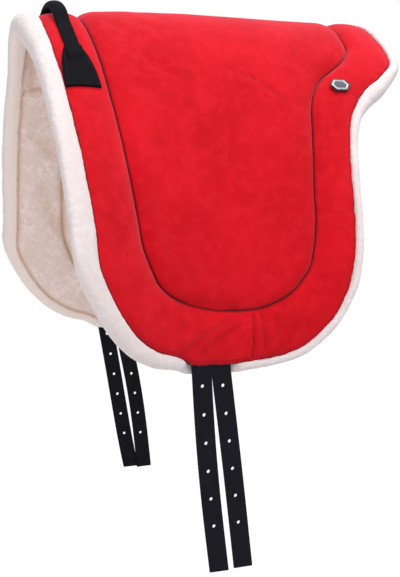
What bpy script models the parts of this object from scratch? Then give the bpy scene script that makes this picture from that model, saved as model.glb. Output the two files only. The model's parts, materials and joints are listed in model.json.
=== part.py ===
"""Bareback pad: suede cover, foam, fleece lining, grab handle and girth straps.

Metres, +Z up. The front of the pad, at the horse's neck, is -Y, and the horse's left side is +X.
The origin is on the underside of the pad, at the spine, in the middle of the seat.
The pad is drawn as a flat pattern, along the spine and down the flap, and then draped over a back.
"""

import math

import bpy
import numpy as np
from mathutils import Vector

MM = 0.001

# Size of the cover, measured on its outer face
FRONT_REACH = 243 * MM
REAR_REACH = 230 * MM
FLAP_DROP = 523 * MM

# The back it lies over: radius over the spine, angle that the flap turns through, and extra turn
FRONT_SPINE_RADIUS = 67 * MM
MIDDLE_SPINE_RADIUS = 109 * MM
REAR_SPINE_RADIUS = 113 * MM
FRONT_FLAP_ANGLE = math.radians(32.4)
MIDDLE_FLAP_ANGLE = math.radians(57.4)
REAR_FLAP_ANGLE = math.radians(42.1)
FRONT_FLAP_CURL = math.radians(56.2)
MIDDLE_FLAP_CURL = math.radians(27.4)
REAR_FLAP_CURL = math.radians(12.6)

# Height of the spine line against its height in the middle of the seat
WITHERS_REACH = 120 * MM
WITHERS_RISE = 1.2 * MM
FRONT_DIP = 5.8 * MM
REAR_DIP = 4.8 * MM

# Thickness of the pad and of its layers
CROWN_THICKNESS = 28 * MM
SEAM_THICKNESS = 22 * MM
EDGE_THICKNESS = 24 * MM
PATTERN_HEIGHT = 25 * MM
CROWN_REACH = 22 * MM
COVER_THICKNESS = 2 * MM
LINING_THICKNESS = 8 * MM
LINING_PINCH = 2.5 * MM
GAP = 0.35 * MM
OVERRUN = 10 * MM

# Rolled fleece edge
ROLL_BULGE = 12 * MM
ROLL_PROUD = 3 * MM
FRONT_ROLL_BULGE = 24 * MM
FRONT_ROLL_PROUD = 5 * MM
ROLL_GAP = 0.8 * MM

# Girth straps and the webbing that carries them over the seat
WEB_WIDTH = 25 * MM
WEB_THICKNESS = 2 * MM
WEB_SPACING = 0.7 * MM
BILLET_LENGTH = 256 * MM
BILLET_ROOT_DROP = 0.6 * MM
BILLET_CLEARANCE = 3.6 * MM
LEFT_FRONT_LEAN = math.radians(2)
LEFT_REAR_LEAN = math.radians(3.2)
RIGHT_FRONT_LEAN = math.radians(4)
RIGHT_REAR_LEAN = math.radians(5.6)
HOLE_COUNT = 6
HOLE_PITCH = 35 * MM
HOLE_DIAMETER = 5 * MM
FIRST_HOLE = 21 * MM
WEB_SKIRT = 14 * MM

# Grab handle
HANDLE_MARGIN = 25 * MM
HANDLE_ROOT_MARGIN = 24 * MM
HANDLE_REACH = FRONT_REACH - HANDLE_MARGIN
HANDLE_ROOT_REACH = FRONT_REACH - HANDLE_ROOT_MARGIN
HANDLE_SPAN = 66 * MM
HANDLE_JOINT = 42 * MM
HANDLE_RISE = 8.5 * MM
HANDLE_ARCH_POWER = 1.5
HANDLE_WIDTH = 18 * MM
HANDLE_THICKNESS = 9 * MM
HANDLE_END_THICKNESS = 5 * MM
PATCH_TOP = 113 * MM
PATCH_DROP = 176 * MM
PATCH_THICKNESS = 2.4 * MM
PATCH_FRONT_MARGIN = 4.5 * MM
PATCH_REAR_MARGIN = 45 * MM
PATCH_FLARE_POWER = 2.5
PATCH_GAP = 0.5 * MM

# Badge
BADGE_REACH = 121 * MM
BADGE_DROP = 186 * MM
BADGE_LENGTH = 31 * MM
BADGE_HEIGHT = 19 * MM
BADGE_THICKNESS = 1.6 * MM
BADGE_CHAMFER = 0.5 * MM

# Sewing thread
THREAD_DIAMETER = 0.9 * MM
HEM_INSET = 3 * MM
TAB_ROW_INSET = 7 * MM
PATCH_ROW_INSET = 3.5 * MM

# Half of the cover's edge, from the spine at the front, down the flap and up to the spine at the
# rear: share of the pad's length, share of the flap's drop, and cells of the mesh up to there
EDGE_FRONT_SHARES = (
    (0, 0, 0),
    (0, 0.272, 7),
    (0, 0.534, 0),
    (0, 0.678, 0),
    (0, 0.78, 0),
    (0.018, 0.821, 0),
    (0.039, 0.859, 9),
    (0.077, 0.905, 0),
    (0.139, 0.945, 0),
    (0.197, 0.965, 0),
    (0.232, 0.986, 3),
)
EDGE_REAR_SHARES = (
    (0.342, 1.0, 0),
    (0.39, 0.997, 0),
    (0.445, 0.996, 0),
    (0.493, 0.991, 0),
    (0.529, 0.981, 0),
    (0.565, 0.961, 0),
    (0.603, 0.932, 5),
    (0.635, 0.895, 0),
    (0.661, 0.853, 0),
    (0.676, 0.816, 0),
    (0.694, 0.751, 0),
    (0.707, 0.684, 0),
    (0.719, 0.615, 5),
    (0.74, 0.525, 0),
    (0.778, 0.437, 0),
    (0.814, 0.395, 0),
    (0.846, 0.369, 0),
    (0.891, 0.343, 0),
    (0.932, 0.315, 0),
    (0.959, 0.294, 7),
    (0.979, 0.238, 0),
    (0.984, 0.178, 0),
    (0.997, 0.076, 0),
    (1.0, 0, 4),
)
TAB_CELLS = 2

# Half of the quilted seam between the seat and the border, told in the same way
SEAM_SHARES = (
    (0.1, 0, 0),
    (0.111, 0.179, 6),
    (0.117, 0.25, 0),
    (0.119, 0.36, 0),
    (0.124, 0.522, 0),
    (0.126, 0.635, 0),
    (0.133, 0.727, 0),
    (0.145, 0.762, 0),
    (0.161, 0.798, 10),
    (0.189, 0.824, 0),
    (0.227, 0.845, 0),
    (0.265, 0.858, 0),
    (0.306, 0.869, 0),
    (0.381, 0.879, 0),
    (0.438, 0.88, 0),
    (0.476, 0.872, 0),
    (0.514, 0.858, 0),
    (0.547, 0.833, 10),
    (0.573, 0.805, 0),
    (0.59, 0.767, 0),
    (0.605, 0.702, 0),
    (0.616, 0.625, 0),
    (0.629, 0.566, 6),
    (0.652, 0.468, 0),
    (0.668, 0.406, 0),
    (0.693, 0.361, 0),
    (0.724, 0.328, 0),
    (0.778, 0.297, 0),
    (0.823, 0.269, 0),
    (0.852, 0.233, 7),
    (0.867, 0.166, 0),
    (0.873, 0.093, 0),
    (0.882, 0, 3),
)
HALF_ROW_CELLS = 16
BOTTOM_CELLS = 10
BORDER_ROW_SHARES = (0, 0.3, 0.7, 1)

# Fineness of what is worked out by formula
ARC_STEPS = 48
CURVE_STEPS = 12
ROLL_POINTS = 6
HANDLE_STATIONS = 25
HANDLE_SIDES = 10
LEG_STATIONS = 4
STRAP_STATIONS = 3
PATCH_STATIONS = 8
PATCH_POINTS = 6
HOLE_SIDES = 8
ROUND_END_POINTS = 7
THREAD_SIDES = 3
SMOOTH_ANGLE = math.radians(40)

PAD_LENGTH = FRONT_REACH + REAR_REACH
LOOP_CELLS = 2 * (2 * HALF_ROW_CELLS + BOTTOM_CELLS)
THREAD_RADIUS = THREAD_DIAMETER / 2


def material(name, red, green, blue, roughness, metallic=0):
    made = bpy.data.materials.new(name)
    made.use_nodes = True
    shader = made.node_tree.nodes["Principled BSDF"]
    shader.inputs["Base Color"].default_value = (red, green, blue, 1)
    shader.inputs["Roughness"].default_value = roughness
    shader.inputs["Metallic"].default_value = metallic
    return made


def add_object(name, points, faces, finish, pivot=(0, 0, 0)):
    """One closed body in world coordinates, with its origin moved to the pivot."""
    pivot = np.array(pivot, float)
    mesh = bpy.data.meshes.new(name)
    mesh.from_pydata((np.array(points) - pivot).tolist(), [], [list(face) for face in faces])
    mesh.update()
    bpy.context.view_layer.objects.active = None
    made = bpy.data.objects.new(name, mesh)
    bpy.context.scene.collection.objects.link(made)
    made.location = pivot
    mesh.materials.append(finish)
    mesh.shade_smooth()
    mesh.set_sharp_from_angle(angle=SMOOTH_ANGLE)
    return made


def through(places, values, y):
    """The polynomial through the values at these places along the spine."""
    total = 0
    for place, value in zip(places, values):
        weight = 1
        for other in places:
            if other != place:
                weight = weight * (y - other) / (place - other)
        total = total + weight * value
    return total


def drape(y, t, height):
    """Where a point of the flat pattern lies: y along the spine, t down the flap (+ to the left)
    and height above the underside. The pattern keeps its size at the pattern height."""
    y, t, height = np.broadcast_arrays(*(np.asarray(value, float) for value in (y, t, height)))
    stations = (-FRONT_REACH, 0, REAR_REACH)
    radius = through(stations, (FRONT_SPINE_RADIUS, MIDDLE_SPINE_RADIUS, REAR_SPINE_RADIUS), y)
    angle = through(stations, (FRONT_FLAP_ANGLE, MIDDLE_FLAP_ANGLE, REAR_FLAP_ANGLE), y)
    curl = through(stations, (FRONT_FLAP_CURL, MIDDLE_FLAP_CURL, REAR_FLAP_CURL), y)
    rise = through(
        (-FRONT_REACH, -WITHERS_REACH, 0, REAR_REACH),
        (-FRONT_DIP, WITHERS_RISE, 0, -REAR_DIP),
        y,
    )
    reach = np.abs(t)

    def turned(along, angle, radius, curl):
        return angle * np.tanh(along / (angle * radius)) + curl * along / FLAP_DROP

    steps = (np.arange(ARC_STEPS) + 0.5) / ARC_STEPS
    turns = turned(reach[..., None] * steps, angle[..., None], radius[..., None], curl[..., None])
    end = turned(reach, angle, radius, curl)
    depth = height - PATTERN_HEIGHT
    x = np.sign(t) * (reach * np.cos(turns).mean(-1) + np.sin(end) * depth)
    z = PATTERN_HEIGHT + rise - reach * np.sin(turns).mean(-1) + np.cos(end) * depth
    return np.stack([x, y, z], -1)


def curve_nodes(table):
    """Nodes along a smooth curve through the table's points, evenly spaced between its stops."""
    points = np.array([(along * PAD_LENGTH - FRONT_REACH, down * FLAP_DROP) for along, down, _ in table])
    spans = np.diff(points, axis=0)
    lengths = np.hypot(*spans.T)
    slopes = spans / lengths[:, None]
    inner = (slopes[:-1] * lengths[1:, None] + slopes[1:] * lengths[:-1, None]) / (
        lengths[1:, None] + lengths[:-1, None]
    )
    tangents = np.vstack([slopes[:1], inner, slopes[-1:]])
    u = np.arange(CURVE_STEPS)[:, None] / CURVE_STEPS
    dense = []
    for i, length in enumerate(lengths):
        dense.append(
            (2 * u**3 - 3 * u**2 + 1) * points[i]
            + (u**3 - 2 * u**2 + u) * length * tangents[i]
            + (3 * u**2 - 2 * u**3) * points[i + 1]
            + (u**3 - u**2) * length * tangents[i + 1]
        )
    dense = np.vstack([*dense, points[-1:]])
    walked = np.concatenate([[0], np.cumsum(np.hypot(*np.diff(dense, axis=0).T))])
    nodes = [points[0]]
    last = 0
    for i, (_, _, cells) in enumerate(table):
        if cells:
            stop = i * CURVE_STEPS
            for place in np.linspace(walked[last], walked[stop], cells + 1)[1:]:
                nodes.append([np.interp(place, walked, dense[:, k]) for k in range(2)])
            last = stop
    return np.array(nodes)


def full_loop(half):
    """The closed loop: the left half, then its mirror image back to the front."""
    return np.vstack([half, half[-2:0:-1] * (1, -1)])


def outward_of(loop):
    """Unit vectors in the pattern that point out of the loop, at its nodes."""
    along = np.roll(loop, -1, axis=0) - np.roll(loop, 1, axis=0)
    along = along / np.hypot(*along.T)[:, None]
    return np.stack([-along[:, 1], along[:, 0]], -1)


edge_front = curve_nodes(EDGE_FRONT_SHARES)
edge_rear = curve_nodes(EDGE_REAR_SHARES)
tab_steps = np.arange(1, TAB_CELLS)[:, None] / TAB_CELLS
tab_nodes = edge_front[-1] + (edge_rear[0] - edge_front[-1]) * tab_steps
edge_loop = full_loop(np.vstack([edge_front, tab_nodes, edge_rear]))
seam_loop = full_loop(curve_nodes(SEAM_SHARES))
edge_outward = outward_of(edge_loop)
tab_first = len(edge_front) - 1
tab_last = tab_first + TAB_CELLS
tab_front_reach = edge_loop[tab_first][0]
tab_rear_reach = edge_loop[tab_last][0]


def fullness(distance):
    """0 at a seam and 1 where the padding has its full thickness."""
    return 1 - (1 - np.clip(distance / CROWN_REACH, 0, 1)) ** 2


def heights(from_edge, from_seam):
    """Height of the cover's outer face and of the lining's underside."""
    drawn_edge = 1 - fullness(from_edge)
    drawn_seam = 1 - fullness(from_seam)
    top = (
        CROWN_THICKNESS
        - (CROWN_THICKNESS - EDGE_THICKNESS) * drawn_edge
        - (CROWN_THICKNESS - SEAM_THICKNESS) * drawn_seam
    )
    return top, LINING_PINCH * (drawn_edge + drawn_seam)


def nearest(nodes, loop):
    """Distance in the pattern from each node to the closed loop."""
    start = loop[None]
    span = np.roll(loop, -1, axis=0)[None] - start
    off = nodes[:, None] - start
    share = np.clip((off * span).sum(-1) / (span * span).sum(-1), 0, 1)
    return np.linalg.norm(off - share[..., None] * span, axis=-1).min(1)


def border_rows(inner_shift=0):
    """Rows of nodes from the edge to the seam. inner_shift draws the last row back from the seam."""
    rows = []
    for share in BORDER_ROW_SHARES:
        rows.append(edge_loop + (seam_loop - edge_loop) * share)
    rows[-1] = seam_loop + outward_of(seam_loop) * inner_shift
    return rows


def ring_cells(rows, first=0):
    cells = []
    for row in range(rows - 1):
        for i in range(LOOP_CELLS):
            a = first + row * LOOP_CELLS + i
            b = first + row * LOOP_CELLS + (i + 1) % LOOP_CELLS
            cells.append((a, b, b + LOOP_CELLS, a + LOOP_CELLS))
    return cells


def seat_nodes(loop):
    """Grid of nodes inside the loop, blended from its four sides, and each node's place in it."""
    width = 2 * HALF_ROW_CELLS
    left_front = HALF_ROW_CELLS
    right_front = LOOP_CELLS - HALF_ROW_CELLS
    left_rear = left_front + BOTTOM_CELLS
    right_rear = right_front - BOTTOM_CELLS
    inside = []
    index = {}
    for i in range(BOTTOM_CELLS + 1):
        for j in range(width + 1):
            front = (right_front + j) % LOOP_CELLS
            rear = right_rear - j
            left = left_front + i
            right = right_front - i
            if i in (0, BOTTOM_CELLS):
                index[i, j] = front if i == 0 else rear
            elif j in (0, width):
                index[i, j] = right if j == 0 else left
            else:
                u = i / BOTTOM_CELLS
                v = j / width
                sides = (1 - u) * loop[front] + u * loop[rear] + (1 - v) * loop[right] + v * loop[left]
                corners = (1 - u) * ((1 - v) * loop[right_front] + v * loop[left_front])
                corners = corners + u * ((1 - v) * loop[right_rear] + v * loop[left_rear])
                index[i, j] = LOOP_CELLS + len(inside)
                inside.append(sides - corners)
    cells = []
    for i in range(BOTTOM_CELLS):
        for j in range(width):
            cells.append((index[i, j], index[i, j + 1], index[i + 1, j + 1], index[i + 1, j]))
    return np.array(inside), cells


def layer(name, nodes, cells, low, high, finish):
    """A closed sheet between two heights over the same nodes of the pattern."""
    count = len(nodes)
    points = np.vstack([drape(*nodes.T, low), drape(*nodes.T, high)])
    faces = []
    sides = {}
    for cell in cells:
        for a, b in zip(cell, cell[1:] + cell[:1]):
            sides[a, b] = True
        for triangle in ((cell[0], cell[1], cell[2]), (cell[0], cell[2], cell[3])):
            faces.append([i + count for i in triangle])
            faces.append([i for i in reversed(triangle)])
    for a, b in sides:
        if (b, a) not in sides:
            faces.append((a, b, b + count, a + count))
    made = add_object(name, points, faces, finish)
    outward(made)
    return made


def outward(made):
    """Turns the faces out where the body came out inside out."""
    mesh = made.data
    mesh.calc_loop_triangles()
    volume = 0
    for triangle in mesh.loop_triangles:
        a, b, c = (mesh.vertices[i].co for i in triangle.vertices)
        volume += a.dot(b.cross(c))
    if volume < 0:
        mesh.flip_normals()


def tube(name, rings, finish, closed=False, pivot=(0, 0, 0), flat=False):
    """A body through rings of points, capped at its ends or joined to itself. A flat one is a
    prism, whose sides stay whole."""
    rings = np.array(rings)
    stations, sides = rings.shape[:2]
    faces = []
    for i in range(stations if closed else stations - 1):
        for j in range(sides):
            a = i * sides + j
            b = i * sides + (j + 1) % sides
            c = (i + 1) % stations * sides + (j + 1) % sides
            d = (i + 1) % stations * sides + j
            if flat:
                faces.append((a, b, c, d))
            else:
                faces.append((a, b, c))
                faces.append((a, c, d))
    if not closed:
        faces.append(range(sides))
        faces.append(range((stations - 1) * sides, stations * sides))
    made = add_object(name, rings.reshape(-1, 3), faces, finish, pivot)
    if not closed:
        made.data.flip_normals()
        turn_caps(made, stations, sides)
    outward(made)
    return made


def turn_caps(made, stations, sides):
    """Winds the two end caps of a tube the same way as its wall."""
    polygons = made.data.polygons
    first, last = polygons[len(polygons) - 2], polygons[len(polygons) - 1]
    wall_edges = set()
    for polygon in polygons[: len(polygons) - 2]:
        corners = list(polygon.vertices)
        wall_edges.update(zip(corners, corners[1:] + corners[:1]))
    for cap in (first, last):
        corners = list(cap.vertices)
        if (corners[0], corners[1]) in wall_edges:
            cap.flip()


def thread(name, path, lift, finish, closed=False):
    """A thread along the path, lifted off what it is sewn to."""
    path = np.array(path)
    lift = np.array(lift)
    if closed:
        along = np.roll(path, -1, axis=0) - np.roll(path, 1, axis=0)
    else:
        along = np.gradient(path, axis=0)
    along = along / np.linalg.norm(along, axis=1)[:, None]
    side = np.cross(along, lift)
    side = side / np.linalg.norm(side, axis=1)[:, None]
    up = np.cross(side, along)
    centre = path + up * (GAP + THREAD_RADIUS)
    rings = []
    for i in range(len(path)):
        ring = []
        for j in range(THREAD_SIDES):
            turn = 2 * math.pi * (j + 0.5) / THREAD_SIDES - math.pi / 2
            ring.append(centre[i] + THREAD_RADIUS * (side[i] * math.cos(turn) + up[i] * math.sin(turn)))
        rings.append(ring)
    return tube(name, rings, finish, closed)


def up_from(y, t):
    """Unit vectors that point off the cover at places of the pattern."""
    return (drape(y, t, CROWN_THICKNESS) - drape(y, t, 0)) / CROWN_THICKNESS


for left_over in list(bpy.data.objects):
    bpy.data.objects.remove(left_over, do_unlink=True)

suede = material("red_suede", 0.68, 0.012, 0.025, 0.85)
foam = material("grey_foam", 0.35, 0.36, 0.38, 0.95)
fleece = material("cream_fleece", 0.86, 0.79, 0.74, 0.95)
webbing = material("black_webbing", 0.012, 0.012, 0.018, 0.7)
red_thread = material("dark_red_thread", 0.25, 0.01, 0.012, 0.6)
black_thread = material("black_thread", 0.02, 0.02, 0.02, 0.6)
nickel = material("nickel_plate", 0.75, 0.75, 0.76, 0.25, 1)

# Cover: the border all round and the seat panel inside it
rows = border_rows()
widths = np.hypot(*(seam_loop - edge_loop).T)
row_tops = []
row_lows = []
for share in BORDER_ROW_SHARES:
    row_top, row_low = heights(widths * share, widths * (1 - share))
    row_tops.append(row_top)
    row_lows.append(row_low)
border_cells = ring_cells(len(rows))
border_top = np.concatenate(row_tops)
border_nodes = np.vstack(border_rows(GAP / 2))
border_cover = layer(
    "border_cover", border_nodes, border_cells, border_top - COVER_THICKNESS, border_top, suede
)

inside_nodes, seat_cells = seat_nodes(seam_loop)
inside_top, inside_low = heights(np.full(len(inside_nodes), CROWN_REACH), nearest(inside_nodes, seam_loop))
seam_inset = seam_loop - outward_of(seam_loop) * GAP / 2
seat_top = np.concatenate([row_tops[-1], inside_top])
layer(
    "seat_cover",
    np.vstack([seam_inset, inside_nodes]),
    seat_cells,
    seat_top - COVER_THICKNESS,
    seat_top,
    suede,
)

# Whole pad: border rows, seat, and a skirt row outside the edge that only the webbing uses
inner_start = (len(rows) - 1) * LOOP_CELLS
pad_cells = border_cells + [tuple(i + inner_start for i in cell) for cell in seat_cells]
pad_nodes = np.vstack([*rows, inside_nodes])
pad_top = np.concatenate([border_top, inside_top])
pad_low = np.concatenate([*row_lows, inside_low])
lining_top = pad_low + LINING_THICKNESS
foam_top = pad_top - COVER_THICKNESS - GAP
web_low = foam_top - WEB_THICKNESS
layer("fleece_lining", pad_nodes, pad_cells, pad_low, lining_top, fleece)
foam_core = layer("foam_core", pad_nodes, pad_cells, lining_top + GAP, foam_top, foam)

skirt = edge_loop + edge_outward * WEB_SKIRT
skirt_nodes = np.vstack([skirt, pad_nodes])
skirt_cells = ring_cells(2) + [tuple(i + LOOP_CELLS for i in cell) for cell in pad_cells]


def with_skirt(values):
    return np.concatenate([values[:LOOP_CELLS], values])


def helper(made):
    made.hide_render = True
    made.display_type = "WIRE"
    return made


def slab_cutter(name, corners):
    """A prism right across the pad, from the corners (y, z) of its side face."""
    half = FLAP_DROP
    points = [(-half, y, z) for y, z in corners] + [(half, y, z) for y, z in corners]
    count = len(corners)
    faces = [range(count), range(count, 2 * count)]
    for i in range(count):
        j = (i + 1) % count
        faces.append((i, i + count, j + count, j))
    made = helper(add_object(name, points, faces, webbing))
    tidy_winding(made)
    return made


def tidy_winding(made):
    """Makes all faces wind alike and point out."""
    bpy.ops.object.select_all(action="DESELECT")
    bpy.context.view_layer.objects.active = made
    made.select_set(True)
    bpy.ops.object.mode_set(mode="EDIT")
    bpy.ops.mesh.select_all(action="SELECT")
    bpy.ops.mesh.normals_make_consistent(inside=False)
    bpy.ops.object.mode_set(mode="OBJECT")
    outward(made)


def boolean(made, other, operation):
    step = made.modifiers.new(operation.lower(), "BOOLEAN")
    step.operation = operation
    step.solver = "EXACT"
    step.object = other


# Girth webbing: two bands over the seat, between foam and cover, out under the tab on both sides
web_centre = (tab_front_reach + tab_rear_reach) / 2
band_offset = (WEB_WIDTH + WEB_SPACING) / 2
top_of_all = CROWN_THICKNESS + OVERRUN + FRONT_DIP
channel_front = web_centre - band_offset - WEB_WIDTH / 2 - GAP
channel_rear = web_centre + band_offset + WEB_WIDTH / 2 + GAP
below_all = -FLAP_DROP - OVERRUN
channel_room = helper(
    layer(
        "channel_room",
        skirt_nodes,
        skirt_cells,
        with_skirt(web_low - GAP),
        with_skirt(pad_top + OVERRUN),
        webbing,
    )
)
channel_slab = slab_cutter(
    "channel_slab",
    (
        (channel_front, top_of_all),
        (channel_rear, top_of_all),
        (channel_rear, below_all),
        (channel_front, below_all),
    ),
)
boolean(channel_room, channel_slab, "INTERSECT")
boolean(foam_core, channel_room, "DIFFERENCE")

billet_roots = {}
for place, sign, leans in (
    ("front", -1, (LEFT_FRONT_LEAN, RIGHT_FRONT_LEAN)),
    ("rear", 1, (LEFT_REAR_LEAN, RIGHT_REAR_LEAN)),
):
    middle = web_centre + sign * band_offset
    near = middle - WEB_WIDTH / 2
    far = middle + WEB_WIDTH / 2
    mid_height = EDGE_THICKNESS - COVER_THICKNESS - GAP - WEB_THICKNESS / 2
    rim_share = (np.array([near, middle, far]) - tab_front_reach) / (tab_rear_reach - tab_front_reach)
    rim_ends = drape(*edge_loop[[tab_first, tab_last]].T, mid_height)
    rim = rim_ends[0] + rim_share[:, None] * (rim_ends[1] - rim_ends[0])
    beyond = drape(*(edge_loop + edge_outward * WEB_SKIRT)[[tab_first, tab_last]].T, mid_height)
    beyond = beyond[0] + rim_share[:, None] * (beyond[1] - beyond[0])
    cut_height = min(rim[0][2], rim[2][2]) - BILLET_ROOT_DROP
    web_layer = layer(
        "girth_web_" + place, skirt_nodes, skirt_cells, with_skirt(web_low), with_skirt(foam_top), webbing
    )
    web_slab = slab_cutter(
        "web_slab_" + place,
        (
            (near, top_of_all),
            (far, top_of_all),
            (far, cut_height),
            (near, cut_height),
        ),
    )
    boolean(web_layer, web_slab, "INTERSECT")
    for side, lean in zip(("left", "right"), leans):
        axis_height = cut_height - GAP - WEB_THICKNESS / 2 - WEB_WIDTH / 2 * math.sin(lean)
        share = (rim[1][2] - axis_height) / (rim[1][2] - beyond[1][2])
        axis_reach = rim[1][0] + share * (beyond[1][0] - rim[1][0])
        billet_roots[side, place] = (axis_reach, middle, axis_height, lean)

# Billets: punched webbing straps, each hinged where it leaves the sewn webbing
for side, sign in (("left", 1), ("right", -1)):
    for place in ("front", "rear"):
        x, y, z, lean = billet_roots[side, place]
        root = np.array([sign * x, y, z])
        down = np.array([0, math.sin(lean), -math.cos(lean)])
        across = np.array([0, math.cos(lean), math.sin(lean)])
        outer = np.array([1, 0, 0])
        half = WEB_THICKNESS / 2
        profile = []
        for turn in np.linspace(0, math.pi, ROUND_END_POINTS):
            profile.append((half * math.cos(turn), -half * math.sin(turn)))
        profile += [(-half, BILLET_LENGTH), (half, BILLET_LENGTH)]
        rings = []
        for edge in (-WEB_WIDTH / 2, WEB_WIDTH / 2):
            rings.append([root + outer * a + down * b + across * edge for a, b in profile])
        billet = tube(f"billet_{side}_{place}", rings, webbing, pivot=root, flat=True)
        punch_rings = []
        for i in range(HOLE_COUNT):
            centre = root + down * (FIRST_HOLE + i * HOLE_PITCH)
            rings = []
            for depth in (-WEB_WIDTH, WEB_WIDTH):
                ring = []
                for j in range(HOLE_SIDES):
                    turn = 2 * math.pi * (j + 0.5) / HOLE_SIDES
                    spoke = across * math.cos(turn) + down * math.sin(turn)
                    ring.append(centre + outer * depth + spoke * HOLE_DIAMETER / 2)
                rings.append(ring)
            punch = helper(tube(f"punch_{side}_{place}_{i}", rings, webbing, flat=True))
            boolean(billet, punch, "DIFFERENCE")

# Rolled fleece edge all round, flattened under the girth straps
under_web = EDGE_THICKNESS - COVER_THICKNESS - GAP - WEB_THICKNESS - BILLET_CLEARANCE
roll_rings = []
for i, (node, out) in enumerate(zip(edge_loop, edge_outward)):
    front_share = np.clip((tab_front_reach - node[0]) / (tab_front_reach + FRONT_REACH), 0, 1)
    bulge = ROLL_BULGE + (FRONT_ROLL_BULGE - ROLL_BULGE) * front_share
    proud = ROLL_PROUD + (FRONT_ROLL_PROUD - ROLL_PROUD) * front_share
    high = EDGE_THICKNESS + proud
    low = LINING_PINCH - ROLL_PROUD
    if tab_first <= min(i, LOOP_CELLS - i) <= tab_last:
        high = under_web
    turns = np.linspace(-math.pi / 2, math.pi / 2, ROLL_POINTS)
    reach = ROLL_GAP + bulge * np.cos(turns)
    height = (high + low) / 2 + (high - low) / 2 * np.sin(turns)
    place = node + reach[:, None] * out
    roll_rings.append(drape(*place.T, height))
tube("fleece_edge_roll", roll_rings, fleece, closed=True)

# Grab handle: a webbing loop over the front of the pad
cover_height = float(heights(CROWN_REACH, CROWN_REACH)[0])


def handle_place(t):
    """Reach along the spine and free height of the handle's middle line."""
    share = np.abs(t) / HANDLE_SPAN
    y = -HANDLE_REACH - (HANDLE_ROOT_REACH - HANDLE_REACH) * np.minimum(share, 1)
    return y, HANDLE_RISE * np.clip(1 - share**2, 0, 1) ** HANDLE_ARCH_POWER


def top_at(y, t):
    """Height of the cover's outer face at places of the pattern."""
    nodes = np.stack(np.broadcast_arrays(y, t), -1).reshape(-1, 2)
    top, _ = heights(nearest(nodes, edge_loop), nearest(nodes, seam_loop))
    return top.reshape(np.shape(y))


def cut_square(ring, y, t, x):
    """Slides a ring's points along the flap until they lie in the plane at this x."""
    up = up_from(y, t)
    along = np.array([up[2], 0, -up[0]])
    return ring + along * ((x - ring[:, 0]) / along[0])[:, None]


joint_y, joint_rise = handle_place(HANDLE_JOINT)
joint_height = cover_height + joint_rise + HANDLE_END_THICKNESS / 2
handle_root = drape(joint_y, HANDLE_JOINT, joint_height)
handle_rings = []
for t in np.linspace(-HANDLE_JOINT, HANDLE_JOINT, HANDLE_STATIONS):
    y, rise = handle_place(t)
    share = abs(t) / HANDLE_JOINT
    thick = HANDLE_THICKNESS + (HANDLE_END_THICKNESS - HANDLE_THICKNESS) * share**2
    centre_height = cover_height + rise + HANDLE_END_THICKNESS / 2
    ring = []
    for j in range(HANDLE_SIDES):
        turn = 2 * math.pi * (j + 0.5) / HANDLE_SIDES
        across = HANDLE_WIDTH / 2 * math.cos(turn)
        lift = thick / 2 * math.sin(turn)
        ring.append(drape(y + across, t, centre_height + lift))
    handle_rings.append(np.array(ring))
handle_rings[-1] = cut_square(handle_rings[-1], joint_y, HANDLE_JOINT, handle_root[0])
handle_rings[0] = cut_square(handle_rings[0], joint_y, -HANDLE_JOINT, -handle_root[0])
tube("handle_loop", handle_rings, webbing, pivot=handle_root * (0, 1, 1))

# Handle patches: the sewn ends of the handle, each spreading into a wide stitched tail
patch_tops = {}
for side, sign in (("left", 1), ("right", -1)):
    leg = np.linspace(HANDLE_JOINT, HANDLE_SPAN, LEG_STATIONS)
    strap = np.linspace(HANDLE_SPAN, PATCH_TOP, STRAP_STATIONS)[1:]
    tail = np.linspace(PATCH_TOP, PATCH_DROP, PATCH_STATIONS)[1:]
    lower = []
    upper = []
    for t in np.concatenate([leg, strap, tail]):
        y, rise = handle_place(t)
        share = 1 - (1 - max(t - PATCH_TOP, 0) / (PATCH_DROP - PATCH_TOP)) ** PATCH_FLARE_POWER
        front = (y - HANDLE_WIDTH / 2) * (1 - share) + (PATCH_FRONT_MARGIN - FRONT_REACH) * share
        rear = (y + HANDLE_WIDTH / 2) * (1 - share) + (PATCH_REAR_MARGIN - FRONT_REACH) * share
        across = np.linspace(front, rear, PATCH_POINTS)
        leg_share = min((t - HANDLE_JOINT) / (HANDLE_SPAN - HANDLE_JOINT), 1)
        thick = HANDLE_END_THICKNESS + (PATCH_THICKNESS - HANDLE_END_THICKNESS) * leg_share
        on_cover = top_at(across, np.full(PATCH_POINTS, t)) + PATCH_GAP
        standing = np.full(PATCH_POINTS, cover_height + rise)
        base = on_cover * leg_share + np.maximum(standing, on_cover) * (1 - leg_share)
        base = np.maximum(base, on_cover + rise)
        lower.append(drape(across, sign * t, base))
        upper.append(drape(across, sign * t, base + thick))
    rings = [np.vstack([low, high[::-1]]) for low, high in zip(lower, upper)]
    rings[0] = cut_square(rings[0], joint_y, sign * HANDLE_JOINT, sign * (handle_root[0] + GAP))
    tube("handle_patch_" + side, rings, webbing)
    patch_tops[side] = np.array(upper)

# Badge: a bare bevelled plate on the border of the left flap
hexagon_shares = ((-1, 0), (-0.54, 1), (0.54, 1), (1, 0), (0.54, -1), (-0.54, -1))
badge_place = drape(BADGE_REACH, BADGE_DROP, 0)
badge_up = up_from(BADGE_REACH, BADGE_DROP)
along = drape(BADGE_REACH + BADGE_LENGTH, BADGE_DROP, 0) - badge_place
along = along - badge_up * along.dot(badge_up)
along = along / np.linalg.norm(along)
side_way = np.cross(badge_up, along)
corners = np.array(
    [along * a * BADGE_LENGTH / 2 + side_way * b * BADGE_HEIGHT / 2 for a, b in hexagon_shares]
)
bpy.context.view_layer.update()
highest = 0
for corner in np.vstack([corners, corners / 2, corners[:1] * 0]):
    start = Vector(badge_place + corner + badge_up * (CROWN_THICKNESS + OVERRUN))
    hit, place, _, _ = border_cover.ray_cast(start, Vector(-badge_up))
    if hit:
        highest = max(highest, float(np.dot(np.array(place) - badge_place, badge_up)))
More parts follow.
